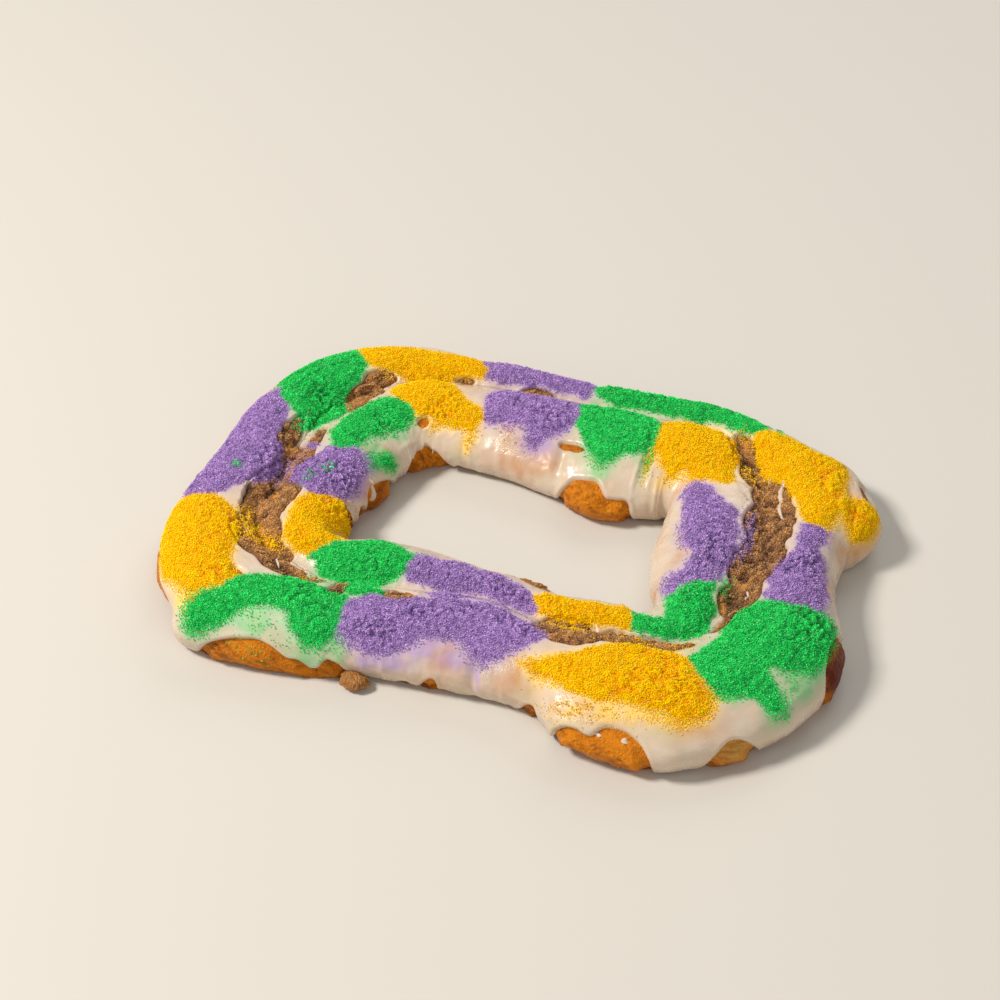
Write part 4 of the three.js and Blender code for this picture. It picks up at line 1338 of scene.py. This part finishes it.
@dataclass
class Grains:
    """Small grains of one form scattered over the skin, each stretched and turned its own way."""

    seed: int
    form: Form

    def __post_init__(self) -> None:
        """Starts the random draws."""
        self.random = np.random.default_rng(self.seed)

    def scatter(self, skin: Skin, density: Array, most: int) -> tuple[Array, Array]:
        """Places over the skin, in proportion to a density.

        The density times the table's cell areas is added up cell by cell, and even steps through
        that sum, each moved by up to a step, pick the cells.

        Args:
            skin: the skin's table.
            density: grains per square millimetre over the table.
            most: the most grains.

        Returns:
            The places' s and share.
        """
        weight = (density * skin.area).ravel()
        total = np.cumsum(weight)
        count = min(most, int(total[-1]))
        LOG.info("%.0f grains wanted, %d made", total[-1], count)
        steps = (np.arange(count) + self.random.uniform(0, 1, count)) / count
        cell = np.searchsorted(total, steps * total[-1])
        cell = np.minimum(cell, weight.size - 1)
        i, j = np.divmod(cell, skin.v.shape[1])
        off = self.random.uniform(-0.5, 0.5, (2, count))
        s = (i + off[0]) * skin.line.perimeter / skin.stations
        share = np.clip((j + off[1]) / skin.columns - 1, -0.999, 0.999)
        return s, share

    def turns(self, count: int) -> Array:
        """Random rotations, from unit quaternions drawn evenly."""
        w, x, y, z = self.random.normal(size=(4, count))
        size = np.sqrt(w * w + x * x + y * y + z * z)
        w, x, y, z = w / size, x / size, y / size, z / size
        return np.stack([
            1 - 2 * (y * y + z * z), 2 * (x * y - w * z), 2 * (x * z + w * y),
            2 * (x * y + w * z), 1 - 2 * (x * x + z * z), 2 * (y * z - w * x),
            2 * (x * z - w * y), 2 * (y * z + w * x), 1 - 2 * (x * x + y * y),
        ], -1).reshape(count, 3, 3)

    def build(
        self, name: str, centres: Array, height: Array, half_size: tuple[float, float],
        smooth: bool = False,
    ) -> bpy.types.Object:
        """Makes the grains at their centres.

        Args:
            name: the piece's name.
            centres: their centres.
            height: how high each lies among its neighbours, from 0 to 1, which the materials paint as
                light and shade.
            half_size: the least and the greatest half size.
            smooth: whether they look rounded.

        Returns:
            The piece, with two random shades and its height for each grain.
        """
        count, corners = len(centres), len(self.form.corners)
        sizes = self.random.uniform(*half_size, (count, 1, 3))
        turned = (self.form.corners * sizes) @ np.swapaxes(self.turns(count), 1, 2)
        points = (turned + centres[:, None]).reshape(-1, 3)
        faces = self.form.faces[None] + corners * np.arange(count)[:, None, None]
        piece = new_piece(name, points, [faces.reshape(-1, 3)], smooth)
        shades = self.random.uniform(0, 1, (2, count))
        set_field(piece, "grain", *(np.repeat(each, corners) for each in (*shades, height)))
        return piece


@dataclass(frozen=True)
class SugarGrains:
    """The loose crystals of one colour, over its beds and thinning out beyond their rims."""

    colour: Colour
    most: int = 49500
    per_mm2: float = 2.4
    half_size: tuple[float, float] = (0.42, 0.86)
    off_floor: float = 2.5

    def build(self, layers: Layers) -> bpy.types.Object:
        """Scatters the crystals and sets them into the bed's top.

        Args:
            layers: the layers' tables.

        Returns:
            The piece.
        """
        skin = layers.skin
        inside = layers.sugar_inside[self.colour]
        index = list(Colour).index(self.colour)
        fade = np.clip((inside + 1.4 * layers.softness) / (1.9 * layers.softness), 0, 1)
        clumps = np.clip(0.7 + 1.3 * skin.noise(84 + index, 3.2, 3.2), 0, 1.6)
        cover = np.where(fade < 1, fade**1.9 * (clumps * (1 - fade) + fade), 1.0)
        density = self.per_mm2 * np.maximum(cover, layers.spills[self.colour] * clumps)
        clear = skin.points[..., 2] > self.off_floor
        grains = Grains(90 + index, FOUR_SIDED)
        s, share = grains.scatter(skin, density * clear, self.most)
        inside_here = skin.sample(inside, s, share)
        height = grains.random.uniform(0, 1, len(s))
        rise = np.where(inside_here > 1, 0.85 * height - 0.15, 0.2)
        spilt = skin.sample(layers.spills[self.colour], s, share) > 0.2
        rise = np.where(spilt, 0.5 + 0.5 * height, rise)
        normals = skin.sample(skin.normals, s, share)
        centres = skin.raised(layers.top, s, share) + normals * rise[:, None]
        name = f"{self.colour.name.lower()}_sugar_grains"
        clods = skin.sample(layers.sugar_clods[self.colour], s, share)
        rounded = self.colour is Colour.GOLD
        level = 0.5 if rounded else 0.42
        # Painted shade: grains that lie low among their neighbours and in the clods' hollows get the deep
        # colour, gold less so.
        high = np.clip(0.3 * height + level + 0.55 * clods, 0, 1)
        piece = grains.build(name, centres, high, self.half_size, rounded)
        return piece


@dataclass(frozen=True)
class FillingCrumbs:
    """Crumbs of cinnamon sugar over the filling where it shows."""

    most: int = 24500
    per_mm2: float = 2.2
    half_size: tuple[float, float] = (0.25, 0.85)
    within: float = 27.0

    def build(self, layers: Layers) -> bpy.types.Object:
        """Scatters the crumbs where neither icing nor sugar covers the filling.

        Args:
            layers: the layers' tables.

        Returns:
            The piece.
        """
        skin = layers.skin
        bare = smooth_step((-layers.icing_inside - 0.4) / 1.5) * (np.abs(skin.v) < self.within)
        covered = np.max(list(layers.sugar_inside.values()), axis=0) > 1
        clumps = np.clip(0.75 + 1.2 * skin.noise(95, 5, 5), 0.1, 1.6)
        golden = 1 - 0.85 * np.clip(skin.dabs(GOLDEN_SPOTS), 0, 1)
        grains = Grains(96, EIGHT_SIDED)
        density = self.per_mm2 * bare * ~covered * clumps * golden
        s, share = grains.scatter(skin, density, self.most)
        normals = skin.sample(skin.normals, s, share)
        height = grains.random.uniform(0, 1, len(s))
        centres = skin.raised(layers.ground, s, share) + normals * (0.7 * height - 0.2)[:, None]
        # Painted light and shade: crumbs that lie high or on the filling's lumps are paler, those in its
        # hollows darker; the stretches that baked darker make them darker too.
        pale = 0.45 * height + 0.5 * skin.sample(layers.filling_clods, s, share)
        pale += 0.3 - 0.45 * skin.sample(skin.dabs(DARK_FILLING) + skin.dabs(SHADED_HOLLOWS), s, share)
        pale = np.clip(pale, 0, 1)
        piece = grains.build("cinnamon_crumbs", centres, pale, self.half_size)
        return piece


@dataclass(frozen=True)
class IcingDrips:
    """Runs of icing: half-round strips that swell towards their lower end."""

    along: int = 22
    around: int = 14

    def build(self, layers: Layers) -> bpy.types.Object:
        """Makes every drip.

        A drip's half width is half its width times the square root of 1 - (2t - 1)^4, and that times a
        share that grows from 0.55 at its start to 1 at its end. Round it, the place goes across by the
        cosine and the height up by the sine.

        Args:
            layers: the layers' tables.

        Returns:
            The piece.
        """
        skin = layers.skin
        t, turn = np.meshgrid(
            np.linspace(0, 1, self.along), np.linspace(0, 2 * math.pi, self.around, endpoint=False),
            indexing="ij",
        )
        swell = np.clip(1 - (2 * t - 1) ** 4, 0, 1) ** 0.5 * (0.55 + 0.45 * t)
        vertices, faces = [], []
        base = strip_faces(self.along, self.around)
        for number, drip in enumerate(DRIPS):
            (s0, v0), (s1, v1) = drip.start, drip.end
            length = math.hypot(s1 - s0, v1 - v0)
            across = np.array([v0 - v1, s1 - s0]) / length
            bow = 0.12 * length * np.sin(math.pi * t) * (-1) ** number
            side = drip.width / 2 * swell * np.cos(turn) + bow
            s = s0 + (s1 - s0) * t + across[0] * side
            share = skin.share_at(s, v0 + (v1 - v0) * t + across[1] * side)
            ground = skin.sample(skin.points, s, share)
            normals = skin.sample(skin.normals, s, share)
            lift = skin.sample(layers.ground, s, share) - 0.25 + drip.height * swell * np.sin(turn)
            faces.append(base + len(vertices) * t.size)
            vertices.append((ground + normals * lift[..., None]).reshape(-1, 3))
        piece = new_piece("icing_drips", np.concatenate(vertices), [np.concatenate(faces)])
        none = np.zeros(len(piece.data.vertices))
        set_field(piece, "stain", none, none, none)
        set_field(piece, "pour", none + 0.15, none, none)
        return piece


@dataclass(frozen=True)
class Lump:
    """A lump of filling that ran out and baked, in the box of its node."""

    node: str
    name: str
    seed: int
    stretch: tuple[float, float, float] = (0.94, 0.94, 0.85)
    shift: tuple[float, float, float] = (0.0, 0.0, 0.0)
    uneven: float = 0.1
    along: int = 72
    around: int = 110

    def build(self) -> bpy.types.Object:
        """Makes a rough ball in the node's box, flat where it rests.

        Each point goes out to an oval from the box's middle, moved by the shift, times one plus the sum
        of some plane waves along its direction.

        Returns:
            The piece.
        """
        low, high = (np.array(corner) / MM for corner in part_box(self.node))
        tilt, turn = np.meshgrid(
            np.linspace(0, math.pi, self.along),
            np.linspace(0, 2 * math.pi, self.around, endpoint=False),
            indexing="ij",
        )
        way = np.stack([np.sin(tilt) * np.cos(turn), np.sin(tilt) * np.sin(turn), np.cos(tilt)], -1)
        random = np.random.default_rng(self.seed)
        rough = np.zeros(tilt.shape)
        for size in (3, 5, 8, 13, 21, 30):
            for _ in range(4):
                wave = random.normal(size=3)
                wave *= size / np.linalg.norm(wave)
                rough += self.uneven / size**0.6 * np.sin(way @ wave + random.uniform(0, 2 * math.pi))
        half = (high - low) / 2 * self.stretch
        middle = (low + high) / 2 + self.shift
        middle[2] = low[2] + self.shift[2] + half[2]
        points = middle + way * (1 + rough)[..., None] * half
        points[..., 2] = np.maximum(points[..., 2], low[2] + self.shift[2])
        points[0], points[-1] = points[0].mean(0), points[-1].mean(0)
        faces = strip_faces(self.along, self.around)
        piece = new_piece(self.name, points.reshape(-1, 3), [faces])
        weld(piece)
        none = np.zeros(len(piece.data.vertices))
        set_field(piece, "bake", none, none + 0.25, none)
        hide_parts(self.node)
        return piece


def weld(piece: bpy.types.Object) -> None:
    """Merges a mesh's vertices that lie in one place, such as a pole's."""
    mesh = bmesh.new()
    mesh.from_mesh(piece.data)
    bmesh.ops.remove_doubles(mesh, verts=mesh.verts, dist=1e-6)
    bmesh.ops.recalc_face_normals(mesh, faces=mesh.faces)
    mesh.to_mesh(piece.data)
    mesh.free()


# ------------------------------------------------------------------ finishes
def hex_colour(text: str) -> tuple[float, float, float, float]:
    """A colour written as six hex digits, as linear light."""
    values = [int(text[k : k + 2], 16) / 255 for k in (0, 2, 4)]
    linear = [c / 12.92 if c <= 0.04045 else ((c + 0.055) / 1.055) ** 2.4 for c in values]
    return (*linear, 1.0)


class Wiring:
    """Short ways to add and join the nodes of one tree."""

    def __init__(self, tree: bpy.types.NodeTree) -> None:
        """Chooses the tree."""
        self.tree = tree

    def feed(self, socket: bpy.types.NodeSocket, value: object) -> None:
        """Joins a socket to another one, or sets its number or colour."""
        if isinstance(value, bpy.types.NodeSocket):
            self.tree.links.new(value, socket)
        else:
            socket.default_value = value

    def node(self, kind: str, inputs: dict | None = None, **settings: object) -> bpy.types.Node:
        """Adds a node with its settings and inputs."""
        node = self.tree.nodes.new(kind)
        for name, value in settings.items():
            setattr(node, name, value)
        for key, value in (inputs or {}).items():
            self.feed(node.inputs[key], value)
        return node

    def math(self, operation: str, *values: object, clamp: bool = False) -> bpy.types.NodeSocket:
        """A math node's result."""
        node = self.node("ShaderNodeMath", dict(enumerate(values)), operation=operation)
        node.use_clamp = clamp
        return node.outputs[0]

    def mix(self, share: object, one: object, other: object, blend: str = "MIX") -> bpy.types.NodeSocket:
        """A mix of two colours."""
        node = self.node("ShaderNodeMix", data_type="RGBA", blend_type=blend)
        self.feed(node.inputs[0], share)
        self.feed(node.inputs[6], one)
        self.feed(node.inputs[7], other)
        return node.outputs[2]

    def field(self, name: str) -> tuple[bpy.types.NodeSocket, ...]:
        """The three channels of a stored field."""
        stored = self.node("ShaderNodeAttribute", attribute_name=name)
        apart = self.node("ShaderNodeSeparateColor", {0: stored.outputs["Color"]})
        return tuple(apart.outputs)

    def coordinates(self) -> bpy.types.NodeSocket:
        """The object's own coordinates."""
        return self.node("ShaderNodeTexCoord").outputs["Object"]

    def noise(self, scale: object, detail: float = 3.0, rough: float = 0.55) -> bpy.types.NodeSocket:
        """Noise over the object's coordinates."""
        inputs = {"Vector": self.coordinates(), "Scale": scale, "Detail": detail, "Roughness": rough}
        return self.node("ShaderNodeTexNoise", inputs).outputs[0]


class Effects:
    """The node groups that more than one material uses, made once."""

    def __init__(self) -> None:
        """Makes the groups."""
        self.mottle = self._mottle()
        self.grit = self._grit()

    @staticmethod
    def _group(name: str, inputs: dict[str, float], outputs: dict[str, str]) -> tuple:
        """An empty group with its sockets, and its wiring and ends."""
        tree = bpy.data.node_groups.new(name, "ShaderNodeTree")
        for label, value in inputs.items():
            socket = tree.interface.new_socket(label, in_out="INPUT", socket_type="NodeSocketFloat")
            socket.default_value = value
        for label, kind in outputs.items():
            tree.interface.new_socket(label, in_out="OUTPUT", socket_type=kind)
        wiring = Wiring(tree)
        return tree, wiring, wiring.node("NodeGroupInput"), wiring.node("NodeGroupOutput")

    def _mottle(self) -> bpy.types.NodeTree:
        """Broad and fine clouding of a colour."""
        tree, wiring, given, made = self._group(
            "mottle",
            {"Broad Scale": 40.0, "Fine Scale": 260.0, "Contrast": 1.6},
            {"Broad": "NodeSocketFloat", "Fine": "NodeSocketFloat"},
        )
        for label in ("Broad", "Fine"):
            cloud = wiring.noise(given.outputs[f"{label} Scale"])
            centred = wiring.math("SUBTRACT", cloud, 0.5)
            stretched = wiring.math("MULTIPLY", centred, given.outputs["Contrast"])
            wiring.feed(made.inputs[label], wiring.math("ADD", stretched, 0.5, clamp=True))
        return tree

    def _grit(self) -> bpy.types.NodeTree:
        """Packed crystals: their rounded heights, the gaps between them, which the materials paint dark as
        shade, and a random shade for each.
        """
        tree, wiring, given, made = self._group(
            "grit",
            {"Scale": 1000.0},
            {"Height": "NodeSocketFloat", "Gaps": "NodeSocketFloat", "Shade": "NodeSocketFloat"},
        )
        inputs = {"Vector": wiring.coordinates(), "Scale": given.outputs["Scale"]}
        cells = wiring.node("ShaderNodeTexVoronoi", inputs)
        away = cells.outputs["Distance"]
        wiring.feed(made.inputs["Height"], wiring.math("SUBTRACT", 1.0, away, clamp=True))
        gaps = wiring.math("MULTIPLY", wiring.math("SUBTRACT", away, 0.45), 2.5, clamp=True)
        wiring.feed(made.inputs["Gaps"], gaps)
        shade = wiring.node("ShaderNodeSeparateColor", {0: cells.outputs["Color"]})
        wiring.feed(made.inputs["Shade"], shade.outputs[0])
        return tree


class Finish:
    """The start of a material: its tree, its shader and its wiring."""

    def __init__(self, name: str) -> None:
        """Makes the material."""
        self.material = bpy.data.materials.new(name)
        self.material.use_nodes = True
        self.wiring = Wiring(self.material.node_tree)
        self.shader = self.material.node_tree.nodes["Principled BSDF"]

    def set(self, **values: object) -> None:
        """Sets or joins the shader's sockets, named with _ for a space."""
        for name, value in values.items():
            self.wiring.feed(self.shader.inputs[name.replace("_", " ")], value)

    def group(self, tree: bpy.types.NodeTree, **values: float) -> bpy.types.Node:
        """Places a shared group with its values, named with _ for a space."""
        inputs = {name.replace("_", " "): value for name, value in values.items()}
        return self.wiring.node("ShaderNodeGroup", inputs, node_tree=tree)

    def bump(self, height: object, distance: float, strength: float = 1.0) -> bpy.types.NodeSocket:
        """A normal bent by a height, whose full range is a distance in metres."""
        inputs = {"Height": height, "Distance": distance, "Strength": strength}
        return self.wiring.node("ShaderNodeBump", inputs).outputs[0]


@dataclass(frozen=True)
class CrustFinish:
    """Baked crust: golden, browned in places, with specks, and painted shade in its fine cracks, under the
    icing's lip and near the foot, and painted light on the back inner wall.
    """

    golden: str = "d67e06"
    brown: str = "621e04"
    pale: str = "cc9648"
    speck: str = "e89a28"
    roughness: float = 0.36

    def make(self, effects: Effects) -> bpy.types.Material:
        """Makes the material."""
        finish = Finish("crust")
        wiring = finish.wiring
        dark, pale, crack = wiring.field("bake")
        mottle = finish.group(effects.mottle, Broad_Scale=55.0, Fine_Scale=420.0, Contrast=1.9)
        # The dark channel holds browning and painted shade, and below zero painted light.
        less = wiring.math("SUBTRACT", dark, 0.2)
        clouded = wiring.math("MULTIPLY_ADD", mottle.outputs["Broad"], 0.62, less)
        clouded = wiring.math("MULTIPLY", clouded, 0.9, clamp=True)
        colour = wiring.mix(clouded, hex_colour(self.golden), hex_colour(self.brown))
        colour = wiring.mix(pale, colour, hex_colour(self.pale))
        flecks = wiring.math("SUBTRACT", mottle.outputs["Fine"], 0.62)
        flecks = wiring.math("MULTIPLY", flecks, 2.2, clamp=True)
        flecks = wiring.math("MULTIPLY", flecks, wiring.math("SUBTRACT", 1.0, dark, clamp=True))
        colour = wiring.mix(flecks, colour, hex_colour(self.speck))
        # Painted shade: the cracks are drawn in the brown.
        colour = wiring.mix(wiring.math("MULTIPLY", crack, 0.6), colour, hex_colour(self.brown))
        rough = wiring.math("MULTIPLY_ADD", mottle.outputs["Fine"], 0.25, self.roughness - 0.1)
        height = wiring.math("MULTIPLY_ADD", mottle.outputs["Fine"], 0.8, wiring.noise(700.0, 4.0))
        finish.set(
            Base_Color=colour,
            Roughness=rough,
            Specular_IOR_Level=0.16,
            Normal=finish.bump(height, 0.0014),
        )
        return finish.material


@dataclass(frozen=True)
class FillingFinish:
    """Baked cinnamon sugar: grainy brown, with painted shade in its hollows and between its grains, and
    smooth golden spots.
    """

    brown: str = "a26a34"
    dark: str = "3c1a08"
    golden: str = "da963a"
    dust: str = "e0a31c"

    def make(self, effects: Effects) -> bpy.types.Material:
        """Makes the material."""
        finish = Finish("cinnamon")
        wiring = finish.wiring
        dark, golden, dusted = wiring.field("bake")
        grit = finish.group(effects.grit, Scale=850.0)
        mottle = finish.group(effects.mottle, Broad_Scale=90.0, Fine_Scale=500.0, Contrast=2.2)
        share = wiring.math("MULTIPLY_ADD", mottle.outputs["Broad"], 0.45, dark)
        share = wiring.math("SUBTRACT", share, 0.1)
        # Painted shade: darker in the gaps between the grains.
        share = wiring.math("MULTIPLY_ADD", grit.outputs["Gaps"], 0.35, share, clamp=True)
        colour = wiring.mix(share, hex_colour(self.brown), hex_colour(self.dark))
        colour = wiring.mix(wiring.math("MULTIPLY", golden, 0.8), colour, hex_colour(self.golden))
        picked = wiring.math("GREATER_THAN", grit.outputs["Shade"], 0.62)
        dusting = wiring.math("MULTIPLY", dusted, picked)
        colour = wiring.mix(wiring.math("MULTIPLY", dusting, 0.6), colour, hex_colour(self.dust))
        height = wiring.math("ADD", grit.outputs["Height"], mottle.outputs["Fine"])
        finish.set(Base_Color=colour, Roughness=0.62, Normal=finish.bump(height, 0.0008))
        return finish.material


@dataclass(frozen=True)
class CrumbFinish:
    """Loose cinnamon sugar: each crumb its own brown, with painted light on crumbs that lie high and
    painted shade on those that lie low.
    """

    light: str = "d29c5c"
    dark: str = "54290e"

    def make(self) -> bpy.types.Material:
        """Makes the material."""
        finish = Finish("cinnamon_crumb")
        wiring = finish.wiring
        first, second, height = wiring.field("grain")
        share = wiring.math("MULTIPLY_ADD", height, 0.75, wiring.math("MULTIPLY", first, 0.35))
        colour = wiring.mix(share, hex_colour(self.dark), hex_colour(self.light))
        rough = wiring.math("MULTIPLY_ADD", second, 0.4, 0.3)
        finish.set(Base_Color=colour, Roughness=rough)
        return finish.material


@dataclass(frozen=True)
class IcingFinish:
    """Poured sugar icing: warm white, thin enough in places for the crust to tint it, and stained
    where coloured sugar dissolved in it."""

    white: str = "d2c3b0"
    thin: str = "c2906a"
    stains: tuple[str, str, str] = ("a58ac4", "5cbf7e", "f0c33c")
    roughness: float = 0.25

    def make(self, effects: Effects) -> bpy.types.Material:
        """Makes the material."""
        finish = Finish("icing")
        wiring = finish.wiring
        thin, crystals, edge = wiring.field("pour")
        mottle = finish.group(effects.mottle, Broad_Scale=45.0, Fine_Scale=300.0, Contrast=1.5)
        grit = finish.group(effects.grit, Scale=900.0)
        patchy = wiring.math("MULTIPLY_ADD", mottle.outputs["Broad"], 0.8, 0.35)
        share = wiring.math("MULTIPLY", thin, patchy)
        share = wiring.math("MULTIPLY_ADD", mottle.outputs["Broad"], 0.18, share, clamp=True)
        colour = wiring.mix(share, hex_colour(self.white), hex_colour(self.thin))
        rough = wiring.math("MULTIPLY_ADD", mottle.outputs["Fine"], 0.16, self.roughness - 0.08)
        for stain, text in zip(wiring.field("stain"), self.stains):
            colour = wiring.mix(wiring.math("MULTIPLY", stain, 0.7), colour, hex_colour(text))
            rough = wiring.math("MULTIPLY_ADD", stain, 0.3, rough)
        colour = wiring.mix(wiring.math("MULTIPLY", edge, 0.12), colour, hex_colour(self.thin))
        low = wiring.math("MULTIPLY", mottle.outputs["Fine"], 0.12)
        height = wiring.math("ADD", low, wiring.math("MULTIPLY", crystals, grit.outputs["Height"]))
        finish.set(
            Base_Color=colour,
            Roughness=rough,
            Specular_IOR_Level=0.42,
            Subsurface_Weight=0.25,
            Subsurface_Radius=(1.0, 0.75, 0.5),
            Subsurface_Scale=0.0025,
            Normal=finish.bump(height, 0.0006),
        )
        return finish.material


@dataclass(frozen=True)
class SugarFinish:
    """Coloured sugar, either a packed bed or loose crystals."""

    colour: Colour
    light: str
    deep: str
    glint: str
    shine: float

    def bed(self, effects: Effects) -> bpy.types.Material:
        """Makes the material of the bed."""
        finish = Finish(f"{self.colour.value}_bed")
        wiring = finish.wiring
        grit = finish.group(effects.grit, Scale=1100.0)
        mottle = finish.group(effects.mottle, Broad_Scale=70.0, Fine_Scale=600.0, Contrast=1.4)
        share = wiring.math("MULTIPLY_ADD", mottle.outputs["Broad"], 0.3, 0.28)
        # Painted shade: darker in the gaps between the crystals.
        share = wiring.math("MULTIPLY_ADD", grit.outputs["Gaps"], 0.45, share, clamp=True)
        colour = wiring.mix(share, hex_colour(self.light), hex_colour(self.deep))
        finish.set(
            Base_Color=colour,
            Roughness=0.55,
            Specular_IOR_Level=self.shine,
            Normal=finish.bump(grit.outputs["Height"], 0.0009),
        )
        return finish.material

    def crystals(self) -> bpy.types.Material:
        """Makes the material of the loose crystals."""
        finish = Finish(f"{self.colour.value}_crystal")
        wiring = finish.wiring
        first, second, height = wiring.field("grain")
        clods = wiring.math("MULTIPLY", wiring.math("SUBTRACT", wiring.noise(260.0, 2.0), 0.5), 0.9)
        # Painted shade: grains that lie low get the deep colour.
        low = wiring.math("MULTIPLY_ADD", wiring.math("SUBTRACT", 1.0, height), 0.75, clods)
        share = wiring.math("MULTIPLY_ADD", wiring.math("POWER", first, 1.5), 0.3, low, clamp=True)
        colour = wiring.mix(share, hex_colour(self.light), hex_colour(self.deep))
        glint = wiring.math("MULTIPLY", wiring.math("GREATER_THAN", second, 0.94), 0.3)
        colour = wiring.mix(glint, colour, hex_colour(self.glint))
        rough = wiring.math("MULTIPLY_ADD", second, 0.35, 0.35)
        finish.set(Base_Color=colour, Roughness=rough, Specular_IOR_Level=self.shine)
        return finish.material


SUGARS = (
    SugarFinish(Colour.PURPLE, "d2aaea", "563680", "f2e8f8", 0.3),
    SugarFinish(Colour.GREEN, "36f476", "027e2a", "c0f8ca", 0.15),
    SugarFinish(Colour.GOLD, "ffe100", "fdaa00", "fff08c", 0.08),
)


@dataclass(frozen=True)
class FloorFinish:
    """A plain pale matt surface."""

    colour: str = "cbc6bd"
    roughness: float = 0.6

    def make(self) -> bpy.types.Material:
        """Makes the material."""
        finish = Finish("floor")
        finish.set(Base_Color=hex_colour(self.colour), Roughness=self.roughness)
        return finish.material


# ------------------------------------------------------------------ studio
@dataclass(frozen=True)
class Studio:
    """Camera, soft lights and a pale floor. Lengths here are metres, angles degrees."""

    camera_place: tuple[float, float, float] = (0.3349, -1.0685, 0.9494)
    azimuth: float = -18.13
    elevation: float = 38.81
    roll: float = -1.25
    lens: float = 77.2
    sensor: float = 36.0
    clip_end: float = 50.0
    floor_size: float = 12.0
    floor_drop: float = 0.0003
    glow_tint: str = "f6f4f0"
    glow_strength: float = 0.35

    def camera(self) -> None:
        """Makes the camera: forwards by its azimuth and elevation, then rolled about that."""
        data = bpy.data.cameras.new("camera")
        data.lens = self.lens
        data.sensor_width = self.sensor
        data.clip_end = self.clip_end
        camera = bpy.data.objects.new("camera", data)
        bpy.context.scene.collection.objects.link(camera)
        azimuth, elevation, roll = map(math.radians, (self.azimuth, self.elevation, self.roll))
        forward = Vector((
            math.sin(azimuth) * math.cos(elevation),
            math.cos(azimuth) * math.cos(elevation),
            -math.sin(elevation),
        ))
        right = forward.cross(Vector((0, 0, 1))).normalized()
        up = right.cross(forward)
        right, up = (
            right * math.cos(roll) + up * math.sin(roll),
            up * math.cos(roll) - right * math.sin(roll),
        )
        turn = Matrix((right, up, -forward)).transposed().to_4x4()
        camera.matrix_world = Matrix.Translation(self.camera_place) @ turn
        bpy.context.scene.camera = camera

    def light(self, name: str, place: Vector, size: float, power: float, tint: str) -> None:
        """Adds a square soft light that faces the cake."""
        data = bpy.data.lights.new(name, "AREA")
        data.size = size
        data.energy = power
        data.color = hex_colour(tint)[:3]
        lamp = bpy.data.objects.new(name, data)
        lamp.location = place
        lamp.rotation_mode = "QUATERNION"
        lamp.rotation_quaternion = (-place).to_track_quat("-Z", "Y")
        bpy.context.scene.collection.objects.link(lamp)

    def floor(self) -> None:
        """Lays the floor a hair under the cake."""
        half = self.floor_size / 2 / MM
        corners = np.array([(-half, -half, 0), (half, -half, 0), (half, half, 0), (-half, half, 0)])
        corners[:, 2] = -self.floor_drop / MM
        floor = new_piece("floor", corners, [np.array([[0, 1, 2, 3]])])
        floor.data.materials.append(FloorFinish().make())

    def build(self) -> None:
        """Makes the camera, the lights, the floor and the room's glow."""
        self.camera()
        self.light("key", Vector((-2.3, -0.8, 2.7)), 0.8, 146.0, "fffaf4")
        self.light("fill", Vector((1.7, -2.6, 1.7)), 2.2, 29.0, "fffcf8")
        self.light("back", Vector((0.4, 3.0, 2.2)), 2.0, 29.0, "ffffff")
        world = bpy.data.worlds.new("room")
        world.use_nodes = True
        glow = world.node_tree.nodes["Background"]
        glow.inputs["Color"].default_value = hex_colour(self.glow_tint)
        glow.inputs["Strength"].default_value = self.glow_strength
        bpy.context.scene.world = world
        self.floor()
        bpy.context.scene.view_settings.view_transform = "Standard"


# ------------------------------------------------------------------ the cake
class KingCake:
    """The whole cake."""

    def __init__(self, node_names: list[str]) -> None:
        """Works out the skin and its layers.

        Args:
            node_names: the names of the frame's nodes.
        """
        self.node_names = node_names
        self.layers = Layers(Skin(Centreline(), Section()), LayerSizes())
        self.effects = Effects()

    def finish(self, piece: bpy.types.Object, material: bpy.types.Material) -> None:
        """Dresses a piece, lets it ride and reports it."""
        piece.data.materials.append(material)
        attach(piece, BODY)
        triangles = len(piece.data.loops) - 2 * len(piece.data.polygons)
        LOG.info("%s: %d triangles", piece.name, triangles)

    def build(self) -> None:
        """Builds and dresses every piece, from the dough up."""
        layers, effects = self.layers, self.effects
        icing, cinnamon = IcingFinish().make(effects), FillingFinish().make(effects)
        self.finish(Dough().build(layers), CrustFinish().make(effects))
        self.finish(Filling().build(layers), cinnamon)
        for strand in Strand:
            self.finish(IcingStrand(strand).build(layers), icing)
        self.finish(IcingDrips().build(layers), icing)
        for sugar in SUGARS:
            ending = "_" + sugar.colour.name.lower()
            nodes = [name for name in self.node_names if name.endswith(ending)]
            self.finish(SugarBed(sugar.colour).build(layers, nodes), sugar.bed(effects))
            self.finish(SugarGrains(sugar.colour).build(layers), sugar.crystals())
        self.finish(FillingCrumbs().build(layers), CrumbFinish().make())
        foot = Lump("cinnamon_lump_foot", "baked_foot_lump", 18)
        top = Lump("cinnamon_lump_top", "baked_top_lump", 17, (0.88, 0.8, 1.0), (-6.5, -2.5, -4), 0.16)
        for lump in (foot, top):
            self.finish(lump.build(), cinnamon)


def main() -> None:
    """Loads the frame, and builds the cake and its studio."""
    logging.basicConfig(level=logging.INFO, format="%(message)s")
    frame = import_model()
    Studio().build()
    KingCake(sorted(frame["nodes"])).build()


if __name__ == "__main__":
    main()
